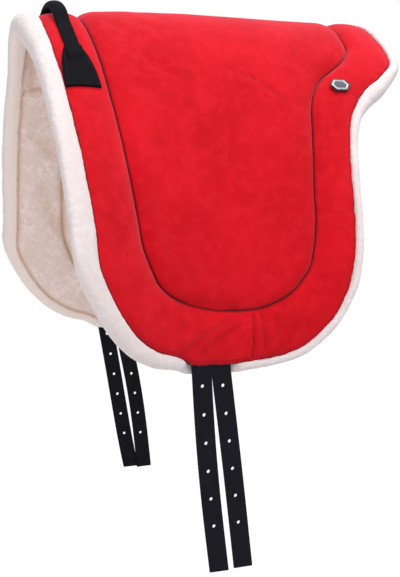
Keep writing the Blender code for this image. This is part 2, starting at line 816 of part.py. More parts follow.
badge_base = badge_place + badge_up * (highest + GAP)
inset = 1 - 2 * BADGE_CHAMFER / BADGE_HEIGHT
badge_rings = [
    badge_base + corners,
    badge_base + corners + badge_up * (BADGE_THICKNESS - BADGE_CHAMFER),
    badge_base + corners * inset + badge_up * BADGE_THICKNESS,
]
tube("badge_plate", badge_rings, nickel)

# Sewing: the quilted seam, the hem beside the roll, the row over each tab, and round each patch
seam_up = up_from(*seam_loop.T)
thread("quilting_thread", drape(*seam_loop.T, row_tops[-1]), seam_up, red_thread, closed=True)
hem_shares = HEM_INSET / (widths * BORDER_ROW_SHARES[1])
edge_points = drape(*rows[0].T, row_tops[0])
next_points = drape(*rows[1].T, row_tops[1])
hem_path = edge_points + (next_points - edge_points) * hem_shares[:, None]
hem_up = up_from(*edge_loop.T)
thread("hem_thread", hem_path, hem_up, red_thread, closed=True)
for side, sign in (("left", 1), ("right", -1)):
    row_y = np.linspace(tab_front_reach, tab_rear_reach, PATCH_STATIONS)
    rim_t = np.interp(row_y, *edge_loop[[tab_first, tab_last]].T) - TAB_ROW_INSET
    row_path = drape(row_y, sign * rim_t, top_at(row_y, rim_t))
    thread("tab_stitching_" + side, row_path, up_from(row_y, sign * rim_t), red_thread)
    tops = patch_tops[side][-PATCH_STATIONS:]
    stations = np.linspace(PATCH_TOP, PATCH_DROP, PATCH_STATIONS)
    inset_share = PATCH_ROW_INSET / (stations[1] - stations[0])
    tops[0] += (tops[1] - tops[0]) * inset_share
    tops[-1] += (tops[-2] - tops[-1]) * inset_share
    spans = np.linalg.norm(tops[:, 1] - tops[:, 0], axis=1)[:, None]
    tops[:, 0] += (tops[:, 1] - tops[:, 0]) * PATCH_ROW_INSET / spans
    tops[:, -1] += (tops[:, -2] - tops[:, -1]) * PATCH_ROW_INSET / spans
    row_path = np.vstack([tops[:, 0], tops[-1, 1:-1], tops[::-1, -1], tops[0, -2:0:-1]])
    ups = up_from(np.full(len(tops), -HANDLE_REACH), sign * stations)
    first_up = np.repeat(ups[:1], PATCH_POINTS - 2, axis=0)
    last_up = np.repeat(ups[-1:], PATCH_POINTS - 2, axis=0)
    row_up = np.vstack([ups, last_up, ups[::-1], first_up])
    thread("patch_stitching_" + side, row_path, row_up, black_thread, closed=True)
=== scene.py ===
import json
import math

import bpy
import numpy as np
from mathutils import Matrix, Vector, noise


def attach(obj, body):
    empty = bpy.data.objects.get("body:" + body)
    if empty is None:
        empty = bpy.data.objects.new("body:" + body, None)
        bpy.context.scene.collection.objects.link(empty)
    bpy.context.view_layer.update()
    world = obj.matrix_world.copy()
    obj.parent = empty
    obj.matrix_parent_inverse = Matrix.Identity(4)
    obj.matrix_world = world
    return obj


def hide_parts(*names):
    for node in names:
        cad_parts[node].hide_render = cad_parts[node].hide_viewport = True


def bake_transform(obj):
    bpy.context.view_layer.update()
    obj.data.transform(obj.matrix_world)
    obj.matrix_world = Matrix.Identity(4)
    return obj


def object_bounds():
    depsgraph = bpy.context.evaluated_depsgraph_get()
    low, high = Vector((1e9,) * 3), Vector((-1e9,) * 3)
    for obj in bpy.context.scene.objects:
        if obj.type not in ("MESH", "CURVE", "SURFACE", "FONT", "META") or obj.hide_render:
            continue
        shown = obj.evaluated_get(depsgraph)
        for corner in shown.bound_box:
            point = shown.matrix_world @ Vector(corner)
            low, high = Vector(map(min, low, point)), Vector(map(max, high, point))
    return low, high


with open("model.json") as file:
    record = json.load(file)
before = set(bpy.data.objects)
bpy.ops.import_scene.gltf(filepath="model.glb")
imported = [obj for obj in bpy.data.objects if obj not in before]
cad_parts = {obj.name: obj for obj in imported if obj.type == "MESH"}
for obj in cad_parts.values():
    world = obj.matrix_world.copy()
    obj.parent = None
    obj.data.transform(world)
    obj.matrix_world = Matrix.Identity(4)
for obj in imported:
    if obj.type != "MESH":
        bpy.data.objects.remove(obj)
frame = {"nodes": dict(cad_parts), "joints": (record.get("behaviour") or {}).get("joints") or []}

cad_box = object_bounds()
bpy.ops.object.select_all(action="DESELECT")

# Suede cover.
# Brushed microfibre suede over foam, in two panels: a seat panel and a border round it.
# Both are cut flat, sewn down together along one seam, and draped over the back by their weight.
MM = 0.001
FRONT_REACH = 243 * MM
REAR_REACH = 230 * MM
FLAP_DROP = 523 * MM
PAD_LENGTH = FRONT_REACH + REAR_REACH
SPINE_RADII = (67 * MM, 109 * MM, 113 * MM)
FLAP_ANGLES = (math.radians(32.4), math.radians(57.4), math.radians(42.1))
FLAP_CURLS = (math.radians(56.2), math.radians(27.4), math.radians(12.6))
SPINE_PLACES = (-FRONT_REACH, -120 * MM, 0, REAR_REACH)
SPINE_RISES = (-5.8 * MM, 1.2 * MM, 0, -4.8 * MM)
PATTERN_HEIGHT = 25 * MM
CROWN = 28 * MM
SEAM_HEIGHT = 22 * MM
EDGE_HEIGHT = 24 * MM
PUFF_REACH = 22 * MM
COVER_THICKNESS = 2 * MM
CREASE_DEPTH = 2.6 * MM
CREASE_REACH = 1.5 * MM
ROUNDING_DEPTH = 2 * MM
ROUNDING_REACH = 5 * MM
SEAM_LINE = 1.3 * MM
RIM_LINE = 2.4 * MM
HEM_INSET = 5 * MM
HEM_DENT = 0.7 * MM
HEM_WIDTH = 1.6 * MM
HEM_LINE = 0.9 * MM
RIM_SHALLOWER = 3
REAR_OVER = 2 * MM
REAR_OVER_RUN = 20 * REAR_OVER
WEB_BAND = 27 * MM
WEB_SOFTNESS = 1.25 * MM
WEB_LIFT = 0.8
LOW_FLAP_SHARE = 0.8
SHARP_ANGLE = math.radians(60)
BATCH = 1000
ARC_STEPS = 40
CURVE_STEPS = 24

# Half of each outline, from the spine at the front, down the flap and up to the spine at the rear:
# share of the pad's length, share of the flap's drop, and cells of the mesh up to there
EDGE_SHARES = (
    (0, 0, 0), (0, 0.272, 7), (0, 0.534, 0), (0, 0.678, 0), (0, 0.78, 0), (0.018, 0.821, 0),
    (0.039, 0.859, 9), (0.077, 0.905, 0), (0.139, 0.945, 0), (0.197, 0.965, 0), (0.232, 0.986, 3),
    (0.287, 0.993, 1), (0.342, 1.0, 1), (0.39, 0.997, 0), (0.445, 0.996, 0), (0.493, 0.991, 0),
    (0.529, 0.981, 0), (0.565, 0.961, 0), (0.603, 0.932, 5), (0.635, 0.895, 0), (0.661, 0.853, 0),
    (0.676, 0.816, 0), (0.694, 0.751, 0), (0.707, 0.684, 0), (0.719, 0.615, 5), (0.74, 0.525, 0),
    (0.778, 0.437, 0), (0.814, 0.395, 0), (0.846, 0.369, 0), (0.891, 0.343, 0), (0.932, 0.315, 0),
    (0.959, 0.294, 7), (0.979, 0.238, 0), (0.984, 0.178, 0), (0.997, 0.076, 0), (1.0, 0, 4),
)
EDGE_CORNERS = (10, 12)
SEAM_SHARES = (
    (0.113, 0, 0), (0.117, 0.179, 6), (0.119, 0.25, 0), (0.12, 0.36, 0), (0.124, 0.522, 0),
    (0.126, 0.635, 0), (0.133, 0.727, 0), (0.145, 0.762, 0), (0.161, 0.798, 10), (0.189, 0.824, 0),
    (0.227, 0.845, 0), (0.265, 0.858, 0), (0.306, 0.869, 0), (0.381, 0.879, 0), (0.438, 0.88, 0),
    (0.476, 0.872, 0), (0.514, 0.858, 0), (0.547, 0.833, 10), (0.573, 0.805, 0), (0.59, 0.767, 0),
    (0.608, 0.702, 0), (0.62, 0.625, 0), (0.633, 0.566, 6), (0.656, 0.468, 0), (0.672, 0.408, 0),
    (0.696, 0.361, 0), (0.727, 0.328, 0), (0.778, 0.295, 0), (0.823, 0.265, 0), (0.857, 0.228, 7),
    (0.876, 0.162, 0), (0.892, 0.085, 0), (0.904, 0, 3),
)
HALF_ROW_CELLS = 16
BOTTOM_CELLS = 10


def through(places, values, y):
    """The polynomial through the values at these places along the spine."""
    total = 0
    for place, value in zip(places, values):
        weight = 1
        for other in places:
            if other != place:
                weight = weight * (y - other) / (place - other)
        total = total + weight * value
    return total


def drape(y, t, height):
    """Where a point of the flat pattern lies: y along the spine, t down the flap (+ to the left)
    and height above the underside."""
    y, t, height = np.broadcast_arrays(*(np.asarray(value, float) for value in (y, t, height)))
    stations = (-FRONT_REACH, 0, REAR_REACH)
    radius = through(stations, SPINE_RADII, y)
    angle = through(stations, FLAP_ANGLES, y)
    curl = through(stations, FLAP_CURLS, y)
    rise = through(SPINE_PLACES, SPINE_RISES, y)
    reach = np.abs(t)

    def turned(along, angle, radius, curl):
        return angle * np.tanh(along / (angle * radius)) + curl * along / FLAP_DROP

    steps = (np.arange(ARC_STEPS) + 0.5) / ARC_STEPS
    turns = turned(reach[..., None] * steps, angle[..., None], radius[..., None], curl[..., None])
    end = turned(reach, angle, radius, curl)
    depth = height - PATTERN_HEIGHT
    x = np.sign(t) * (reach * np.cos(turns).mean(-1) + np.sin(end) * depth)
    z = PATTERN_HEIGHT + rise - reach * np.sin(turns).mean(-1) + np.cos(end) * depth
    return np.stack([x, y, z], -1)


def up_from(y, t):
    """Unit vectors that point off the cover at places of the pattern."""
    return (drape(y, t, CROWN) - drape(y, t, 0)) / CROWN


def smooth_nodes(table, fineness, corners=()):
    """Nodes along a smooth curve through the table's points, evenly spaced between its stops.
    The curve turns sharply at the corners."""
    points = np.array([(along * PAD_LENGTH, down * FLAP_DROP) for along, down, _ in table])
    points = points - (FRONT_REACH, 0)
    spans = np.diff(points, axis=0)
    lengths = np.hypot(*spans.T)
    slopes = spans / lengths[:, None]
    inner = (slopes[:-1] * lengths[1:, None] + slopes[1:] * lengths[:-1, None]) / (
        lengths[1:, None] + lengths[:-1, None]
    )
    leave = np.vstack([slopes[:1], inner, slopes[-1:]])
    arrive = leave.copy()
    for corner in corners:
        leave[corner] = slopes[corner]
        arrive[corner] = slopes[corner - 1]
    u = np.arange(CURVE_STEPS)[:, None] / CURVE_STEPS
    dense = []
    for i, length in enumerate(lengths):
        dense.append(
            (2 * u**3 - 3 * u**2 + 1) * points[i]
            + (u**3 - 2 * u**2 + u) * length * leave[i]
            + (3 * u**2 - 2 * u**3) * points[i + 1]
            + (u**3 - u**2) * length * arrive[i + 1]
        )
    dense = np.vstack([*dense, points[-1:]])
    walked = np.concatenate([[0], np.cumsum(np.hypot(*np.diff(dense, axis=0).T))])
    nodes = [points[0]]
    last = 0
    for i, (_, _, cells) in enumerate(table):
        if cells:
            stop = i * CURVE_STEPS
            for place in np.linspace(walked[last], walked[stop], cells * fineness + 1)[1:]:
                nodes.append([np.interp(place, walked, dense[:, k]) for k in range(2)])
            last = stop
    return np.array(nodes)


def full_loop(half):
    """The closed loop: the left half, then its mirror image back to the front."""
    return np.vstack([half, half[-2:0:-1] * (1, -1)])


def outward_of(loop):
    """Unit vectors in the pattern that point out of the loop, at its nodes."""
    along = np.roll(loop, -1, axis=0) - np.roll(loop, 1, axis=0)
    along = along / np.hypot(*along.T)[:, None]
    return np.stack([-along[:, 1], along[:, 0]], -1)


def batches(nodes):
    """The nodes in batches that fit in memory."""
    return np.array_split(nodes, max(1, len(nodes) // BATCH))


def nearest(nodes, loop):
    """Distance in the pattern from each node to the closed loop."""
    start = loop[None]
    span = np.roll(loop, -1, axis=0)[None] - start
    found = []
    for part in batches(nodes):
        off = part[:, None] - start
        share = np.clip((off * span).sum(-1) / (span * span).sum(-1), 0, 1)
        found.append(np.linalg.norm(off - share[..., None] * span, axis=-1).min(1))
    return np.concatenate(found)


def ring_cells(rows, count, closed=False):
    """Cells between rows of nodes that each run round a ring. Closed joins last row to first."""
    cells = []
    for row in range(rows if closed else rows - 1):
        first, below = row * count, (row + 1) % rows * count
        for i in range(count):
            j = (i + 1) % count
            cells.append((first + i, first + j, below + j, below + i))
    return cells


def inside_grid(loop, fineness):
    """Nodes inside a loop, blended from its four sides, and cells over the loop and those nodes."""
    half = HALF_ROW_CELLS * fineness
    rows = BOTTOM_CELLS * fineness
    count = len(loop)
    corner_ids = (count - half, half, count - half - rows, half + rows)
    right_front, left_front, right_rear, left_rear = corner_ids
    i, j = np.meshgrid(np.arange(rows + 1), np.arange(2 * half + 1), indexing="ij")
    u = (i / rows)[..., None]
    v = (j / (2 * half))[..., None]
    sides = (1 - u) * loop[(right_front + j) % count] + u * loop[right_rear - j]
    sides = sides + (1 - v) * loop[right_front - i] + v * loop[left_front + i]
    corners = (1 - u) * ((1 - v) * loop[right_front] + v * loop[left_front])
    corners = corners + u * ((1 - v) * loop[right_rear] + v * loop[left_rear])
    nodes = sides - corners
    index = np.full(i.shape, -1)
    index[0] = (right_front + j[0]) % count
    index[-1] = right_rear - j[0]
    index[:, 0] = right_front - i[:, 0]
    index[:, -1] = left_front + i[:, 0]
    inner = index < 0
    index[inner] = count + np.arange(inner.sum())
    quads = np.stack([index[:-1, :-1], index[:-1, 1:], index[1:, 1:], index[1:, :-1]], -1)
    return nodes[inner], [tuple(quad) for quad in quads.reshape(-1, 4).tolist()]


def fullness(distance):
    """0 at a seam and 1 where the padding has its full thickness."""
    return 1 - (1 - np.clip(distance / PUFF_REACH, 0, 1)) ** 2


def fade(off, softness):
    """1 well below zero and 0 well above it."""
    return 1 / (1 + np.exp(off / softness))


def over_web(y):
    """1 where the girth webbing runs under the cover and keeps the seam up, 0 elsewhere."""
    return fade(np.abs(y - (tab_front + tab_rear) / 2) - WEB_BAND, WEB_SOFTNESS)


def cover_top(y, from_edge, from_seam):
    """Height of the cover's outer face, with its channel along the seam and its sewn hem."""
    top = CROWN - (CROWN - EDGE_HEIGHT) * (1 - fullness(from_edge))
    top = top - (CROWN - SEAM_HEIGHT) * (1 - fullness(from_seam))
    sunk = ROUNDING_DEPTH * np.exp(-from_seam / ROUNDING_REACH)
    sunk = sunk + CREASE_DEPTH * np.exp(-from_seam / CREASE_REACH)
    top = top - sunk * (1 - WEB_LIFT * over_web(y))
    top = top - CREASE_DEPTH * np.exp(-from_edge / CREASE_REACH) / RIM_SHALLOWER
    return top - HEM_DENT * np.exp(-(((from_edge - HEM_INSET) / HEM_WIDTH) ** 2))


def ripple(places, size, seed):
    """Smooth noise between -1 and 1 at places or pattern nodes, with features of this size."""
    offset = Vector((seed, seed, seed))
    places = np.pad(places, ((0, 0), (0, 3 - places.shape[1])))
    return np.array([noise.noise(Vector(place) / size + offset) for place in places])


def mesh_object(name, points, faces):
    mesh = bpy.data.meshes.new(name)
    mesh.from_pydata(points.tolist(), [], faces)
    mesh.update()
    made = bpy.data.objects.new(name, mesh)
    bpy.context.scene.collection.objects.link(made)
    return made


def new_piece(name, points, faces, sharp=SHARP_ANGLE):
    """A closed body whose faces point out, smooth but for edges over the sharp angle."""
    made = mesh_object(name, points, faces)
    mesh = made.data
    corners = np.array([mesh.vertices[i].co for face in mesh.polygons for i in face.vertices[:3]])
    a, b, c = corners.reshape(-1, 3, 3).transpose(1, 0, 2)
    if (a * np.cross(b, c)).sum() < 0:
        mesh.flip_normals()
    mesh.shade_smooth()
    mesh.set_sharp_from_angle(angle=sharp)
    return made


def layer(name, nodes, cells, low, high):
    """A closed sheet between two heights over the same nodes of the pattern."""
    count = len(nodes)
    points = np.vstack([drape(*nodes.T, low), drape(*nodes.T, high)])
    faces = []
    sides = set()
    for cell in cells:
        faces.append(tuple(i + count for i in cell))
        faces.append(cell[::-1])
        sides.update(zip(cell, cell[1:] + cell[:1]))
    for a, b in sorted(sides):
        if (b, a) not in sides:
            faces.append((a, b, b + count, a + count))
    return new_piece(name, points, faces)


def mark(piece, name, values):
    """Gives the points of a piece a value for its material, in a layer the same below and above."""
    values = np.resize(values, len(piece.data.vertices))
    piece.data.attributes.new(name, "FLOAT", "POINT").data.foreach_set("value", values)


def linear(code):
    """An sRGB hex colour as linear values."""
    values = []
    for i in (1, 3, 5):
        part = int(code[i : i + 2], 16) / 255
        values.append(part / 12.92 if part <= 0.04045 else ((part + 0.055) / 1.055) ** 2.4)
    return values + [1]


def add(tree, kind, inputs=(), **settings):
    """Adds a node with its settings, and gives each input a value or a link."""
    node = tree.nodes.new("ShaderNode" + kind)
    for name, value in settings.items():
        setattr(node, name, value)
    for name, value in dict(inputs).items():
        if isinstance(value, bpy.types.NodeSocket):
            tree.links.new(value, node.inputs[name])
        else:
            node.inputs[name].default_value = value
    return node


def new_material(name, **sockets):
    """A Principled material. Returns it with its node tree and shader."""
    made = bpy.data.materials.new(name)
    made.use_nodes = True
    tree = made.node_tree
    tree.nodes.clear()
    inputs = {key.replace("_", " "): value for key, value in sockets.items()}
    shader = add(tree, "BsdfPrincipled", inputs)
    add(tree, "OutputMaterial", {"Surface": shader.outputs["BSDF"]})
    return made, tree, shader


def patterned(tree, size, detail, roughness, stretch=(1, 1, 1)):
    """Noise on Object coordinates with features of this size in metres."""
    place = add(tree, "TexCoord").outputs["Object"]
    inputs = {"Vector": place, "Scale": [1 / (size * s) for s in stretch]}
    mapped = add(tree, "Mapping", inputs)
    inputs = {"Vector": mapped.outputs[0], "Scale": 1, "Detail": detail, "Roughness": roughness}
    return add(tree, "TexNoise", inputs).outputs["Fac"]


def mixed(tree, share, low, high):
    """A colour between two, by the share."""
    inputs = {0: share, 6: low, 7: high}
    return add(tree, "Mix", inputs, data_type="RGBA").outputs[2]


def ranged(tree, value, low, high, to_low=0, to_high=1):
    """The value moved softly from one range to another."""
    inputs = {0: value, 1: low, 2: high, 3: to_low, 4: to_high}
    return add(tree, "MapRange", inputs, interpolation_type="SMOOTHSTEP").outputs[0]


def attribute(tree, name):
    return add(tree, "Attribute", attribute_name=name).outputs["Fac"]


def dress(tree, shader, base, *reliefs):
    """Gives a shader its colour and its bumps, each a height, a strength and a distance."""
    tree.links.new(base, shader.inputs["Base Color"])
    normal = {}
    for height, strength, distance in reliefs:
        inputs = {"Height": height, "Strength": strength, "Distance": distance, **normal}
        normal = {"Normal": add(tree, "Bump", inputs).outputs[0]}
    if normal:
        tree.links.new(normal["Normal"], shader.inputs["Normal"])


SUEDE_SHADE = linear("#C10A17")
SUEDE_MID = linear("#D0101E")
SUEDE_RAISED = linear("#DB1B2A")
SUEDE_SMUDGE = linear("#AC0815")
PAINTED_SHADE_RED = linear("#46050B")
NAP_PATCH = 90 * MM
NAP_MARK = 16 * MM
SMUDGE_MARK = 19 * MM
SUEDE_GRAIN = 1.4 * MM
GRAIN_RELIEF = 0.25 * MM
NAP_RELIEF = 0.4 * MM

# Microfibre suede: the brushed nap scatters light, so it is matt with a soft sheen at its rims, and
# lies in patches that look lighter or darker. The grain is drawn three times its real size to show.
# Painted shade: in the seam, at the rim, along the hem and in folds, the colour goes dark red.
suede, tree, shader = new_material(
    "brushed_microfibre_suede",
    Roughness=0.95,
    Sheen_Weight=0.42,
    Sheen_Roughness=0.4,
    Sheen_Tint=linear("#FFA9C4"),
    Specular_IOR_Level=0.12,
)
patches = ranged(tree, patterned(tree, NAP_PATCH, 2, 0.5), 0.32, 0.68)
brushed = ranged(tree, patterned(tree, NAP_MARK, 3, 0.6), 0.34, 0.72)
smudges = ranged(tree, patterned(tree, SMUDGE_MARK, 2, 0.5), 0.55, 0.85, 0, 0.25)
blotches = ranged(tree, patterned(tree, NAP_MARK / 2, 2, 0.6), 0.3, 0.6, 0.3, 1)
inputs = {0: attribute(tree, "smudge_share"), 1: blotches}
blotches = add(tree, "Math", inputs, operation="MULTIPLY").outputs[0]
grain = patterned(tree, SUEDE_GRAIN, 2, 0.6)
base = mixed(tree, patches, SUEDE_SHADE, SUEDE_MID)
base = mixed(tree, ranged(tree, brushed, 0, 1, 0, 0.42), base, SUEDE_RAISED)
base = mixed(tree, smudges, base, SUEDE_SMUDGE)
base = mixed(tree, blotches, base, SUEDE_SMUDGE)
base = mixed(tree, ranged(tree, grain, 0.3, 0.7, 0.16, 0), base, SUEDE_SMUDGE)
# Painted shade: the dark red where shade falls in the seam, at the rim, along the hem and in folds.
base = mixed(tree, attribute(tree, "painted_crease_shade"), base, PAINTED_SHADE_RED)
dress(tree, shader, base, (grain, 0.4, GRAIN_RELIEF), (brushed, 0.15, NAP_RELIEF))

# Cells of cover and lining to each cell of the outlines' tables
FINENESS = 8
MIDDLE_ROWS = 12
HEM_ROWS = (0, 0.7 * MM, 1.6 * MM, 2.8 * MM, 4.1 * MM, 5 * MM, 5.9 * MM, 7.6 * MM, 10.5 * MM)
CHANNEL_ROWS = (0, 0.7 * MM, 1.6 * MM, 3 * MM, 5 * MM, 7.5 * MM, 10.5 * MM, 14 * MM)
PUCKER_SIZE = 9 * MM
PUCKER_REACH = 9 * MM
PUCKER_HEIGHT = 0.8 * MM
SCALLOP_SIZE = 9 * MM
SCALLOP_DEPTH = 1.8 * MM
SCALLOP_LESS = 0.2
SCALLOP_FADE = 12
TAB_SHADE_REACH = 110 * MM
RIDGE_SHARE = 0.5
RIDGE_PLACE = 1.9
SWELL_SIZE = 70 * MM
SWELL_HEIGHT = 0.9 * MM

# Folds in the border: start and end in the pattern (along the spine, down the flap), depth, width
FOLDS = (
    (-50, 468, -55, 516, 2.4, 2.4),
    (-39, 468, -39, 508, 1.8, 3.2),
    (-23, 475, -24, 498, 1.0, 3.0),
    (-78, 462, -144, 486, -1.4, 5.0),
    (-84, 472, -146, 496, 1.6, 7.0),
    (-73, 478, -119, 500, 1.5, 5.0),
    (-6, 474, -12, 504, 0.6, 3.5),
    (-171, 444, -190, 466, 0.8, 5.0),
    (32, 434, 54, 444, 0.7, 5.0),
    (74, 350, 88, 360, 0.6, 5.0),
)

# Soft creases in the seat panel, as above
SEAT_CREASES = (
    (-29, 152, 2, 170, 0.8, 3.5),
    (2, 170, 37, 203, 0.9, 4.0),
    (-92, 258, -77, 259, 0.6, 2.0),
    (-87, 158, -80, 169, 0.5, 3.0),
    (-150, 436, -70, 452, 0.8, 7.0),
)

# Marks where hands have brushed the nap down on the left: place in the pattern, reach and strength
SMUDGES = (
    (-103, 123, 9, 0.35),
    (-118, 191, 13, 0.5),
    (-92, 200, 8, 0.55),
    (-144, 250, 9, 0.4),
    (-214, 282, 9, 0.5),
    (-222, 346, 8, 0.5),
    (-166, 333, 11, 0.35),
    (-82, 164, 8, 0.5),
    (-130, 405, 16, 0.3),
)


def line(distance, width=1):
    """1 on a line and 0 beside it."""
    return np.exp(-((distance / width) ** 2))


def drawn_in(nodes, folds):
    """How far folds draw a layer in. Each has a low ridge beside it."""
    depth = 0
    for y0, t0, y1, t1, deep, wide in folds:
        start = np.array([y0, t0]) * MM
        span = np.array([y1, t1]) * MM - start
        off = np.stack([nodes[:, 0], np.abs(nodes[:, 1])], -1) - start
        share = np.clip((off @ span) / (span @ span), 0, 1)
        away = off - share[:, None] * span
        side = (away @ np.array([-span[1], span[0]])) / np.linalg.norm(span)
        near = np.linalg.norm(away, axis=1) / (wide * MM)
        ridge = RIDGE_SHARE * line(near - RIDGE_PLACE) * (side > 0)
        depth = depth + deep * MM * (line(near) - ridge)
    return depth


def smudged(nodes):
    """How far the nap is brushed down at nodes of the pattern."""
    share = np.zeros(len(nodes))
    for y, t, reach, strength in SMUDGES:
        share = share + strength * line(np.hypot(*(nodes - (y * MM, t * MM)).T), reach * MM)
    return np.minimum(share, 1)


cut_loop = full_loop(smooth_nodes(EDGE_SHARES, FINENESS, EDGE_CORNERS))
seam_loop = full_loop(smooth_nodes(SEAM_SHARES, FINENESS))
tab_front, tab_rear = (
    cut_loop[FINENESS * sum(cells for _, _, cells in EDGE_SHARES[: corner + 1])][0]
    for corner in EDGE_CORNERS
)


def rear_over(loop):
    """How far the cover and the roll lie outside the pattern's outline, behind the tab."""
    return REAR_OVER * np.clip((loop[:, 0] - tab_rear) / REAR_OVER_RUN, 0, 1)[:, None]


edge_loop = cut_loop + outward_of(cut_loop) * rear_over(cut_loop)
loop_count = len(edge_loop)
seam_out = outward_of(seam_loop)
edge_out = outward_of(edge_loop)
seam_puckers = ripple(seam_loop, PUCKER_SIZE, 3.1)
edge_puckers = ripple(edge_loop, PUCKER_SIZE, 7.7)
scallops = SCALLOP_DEPTH * (ripple(edge_loop, SCALLOP_SIZE, 12.3) - SCALLOP_LESS)
scallops = edge_out * scallops[:, None]


def swell(nodes):
    """Broad soft waves in the padding."""
    return SWELL_HEIGHT * ripple(nodes, SWELL_SIZE, 21.9)


def off_tab(loop):
    """How far each node of an outline lies from the girth straps' tab."""
    return np.where(
        np.abs(loop[:, 1]) > LOW_FLAP_SHARE * FLAP_DROP,
        np.maximum(np.maximum(tab_front - loop[:, 0], loop[:, 0] - tab_rear), 0),
        FLAP_DROP,
    )


def within(nodes, loop):
    """Which nodes lie inside the closed loop."""
    ends = np.roll(loop, -1, axis=0)
    found = []
    for part in batches(nodes):
        y, t = part[:, None, 0], part[:, None, 1]
        spans = (loop[:, 1] > t) != (ends[:, 1] > t)
        rise = np.where(ends[:, 1] == loop[:, 1], 1, ends[:, 1] - loop[:, 1])
        crossing = loop[:, 0] + (t - loop[:, 1]) / rise * (ends[:, 0] - loop[:, 0])
        found.append((spans & (y < crossing)).sum(1) % 2 == 1)
    return np.concatenate(found)


# Wrinkles of the filled cover. A sheet held along the seam and the hem is blown up by a cloth
# simulation. What its rise has finer than the padding's own crown is kept, up to the cap.
FILL_CELL = 6 * MM
FILL_FRAMES = 20
FILL_PRESSURE = 2
FILL_SLACK = 0.004
SEAM_HOLD = 5 * MM
HEM_HOLD = 9 * MM
FILL_CAP = 1.8 * MM
FILL_SMOOTHING = 4
FILL_BLUR = 0.7
SHEET_MASS = 0.2
SHEET_STIFFNESS = 0.6
HOLD_STRENGTH = 1.5
LEAST_HOLD = 0.01
CREST_REACH = 110 * MM
CREST_CALM = 0.7

# How far painted shade darkens the rim, the hem, the deepest folds and the seam
RIM_SHADE = 0.7
HEM_SHADE = 0.45
FOLD_SHADE = 0.36
SEAM_SHADE = 0.85
FOLD_DEEP = 2.2 * MM


def spread(field, weights, cells):
    """The field blurred over so many cells, by weights that leave out what lies off the pattern."""
    reach = 3 * cells
    bell = np.exp(-((np.arange(-reach, reach + 1) / cells) ** 2) / 2)
    sums = []
    for values in (field * weights, weights):
        for axis in (0, 1):
            values = np.apply_along_axis(np.convolve, axis, values, bell, "same")
        sums.append(values)
    return sums[0] / np.maximum(sums[1], 1e-9)


def filled_wrinkles():
    """Height of the wrinkles on a grid over the pattern."""
    y, t = np.meshgrid(
        np.arange(-FRONT_REACH, REAR_REACH + FILL_CELL, FILL_CELL),
        np.arange(-FLAP_DROP, FLAP_DROP + FILL_CELL, FILL_CELL),
        indexing="ij",
    )
    nodes = np.c_[y.ravel(), t.ravel()]
    kept = within(nodes, edge_loop)
    index = np.full(len(nodes), -1)
    index[kept] = np.arange(kept.sum())
    index = index.reshape(y.shape)
    quads = np.stack([index[:-1, :-1], index[:-1, 1:], index[1:, 1:], index[1:, :-1]], -1)
    quads = quads[(quads >= 0).all(-1)]
    nodes = nodes[kept]
    from_edge, from_seam = nearest(nodes, edge_loop), nearest(nodes, seam_loop)
    start = drape(*nodes.T, cover_top(nodes[:, 0], from_edge, from_seam))
    sheet = mesh_object("filled_sheet", start, quads.tolist())
    held = sheet.vertex_groups.new(name="held")
    hold = np.maximum(line(from_seam, SEAM_HOLD), line(from_edge, HEM_HOLD))
    hold = np.clip(HOLD_STRENGTH * hold, 0, 1)
    for i in np.flatnonzero(hold > LEAST_HOLD):
        held.add([int(i)], float(hold[i]), "REPLACE")
    filling = sheet.modifiers.new("filling", "CLOTH")
    filling.settings.mass = SHEET_MASS
    filling.settings.bending_stiffness = SHEET_STIFFNESS
    filling.settings.vertex_group_mass = "held"
    filling.settings.use_pressure = True
    filling.settings.uniform_pressure_force = FILL_PRESSURE
    filling.settings.shrink_min = -FILL_SLACK
    filling.settings.effector_weights.gravity = 0
    filling.point_cache.frame_start = 1
    filling.point_cache.frame_end = FILL_FRAMES
    for frame_number in range(1, FILL_FRAMES + 1):
        bpy.context.scene.frame_set(frame_number)
    bpy.context.view_layer.objects.active = sheet
    bpy.ops.object.modifier_apply(modifier="filling")
    ends = np.array([vertex.co for vertex in sheet.data.vertices])
    bpy.data.objects.remove(sheet)
    bpy.context.scene.frame_set(1)
    rise = np.zeros(y.size)
    rise[kept] = ((ends - start) * up_from(*nodes.T)).sum(1)
    rise = rise.reshape(y.shape)
    rise = rise - spread(rise, kept.reshape(y.shape).astype(float), FILL_SMOOTHING)
    rise = FILL_CAP * np.tanh(rise / FILL_CAP) * (1 - CREST_CALM * line(t, CREST_REACH))
    return spread(rise, np.ones(y.shape), FILL_BLUR)


wrinkle_grid = filled_wrinkles()


def wrinkles(nodes):
    """Height of the wrinkles at nodes of the pattern, read between the points of the grid."""
    place = (nodes + (FRONT_REACH, FLAP_DROP)) / FILL_CELL
    place = np.clip(place, 0, np.array(wrinkle_grid.shape) - 1.001)
    cell = place.astype(int)
    u, v = (place - cell).T
    i, j = cell.T
    near = wrinkle_grid[i, j] * (1 - v) + wrinkle_grid[i, j + 1] * v
    far = wrinkle_grid[i + 1, j] * (1 - v) + wrinkle_grid[i + 1, j + 1] * v
    return near * (1 - u) + far * u


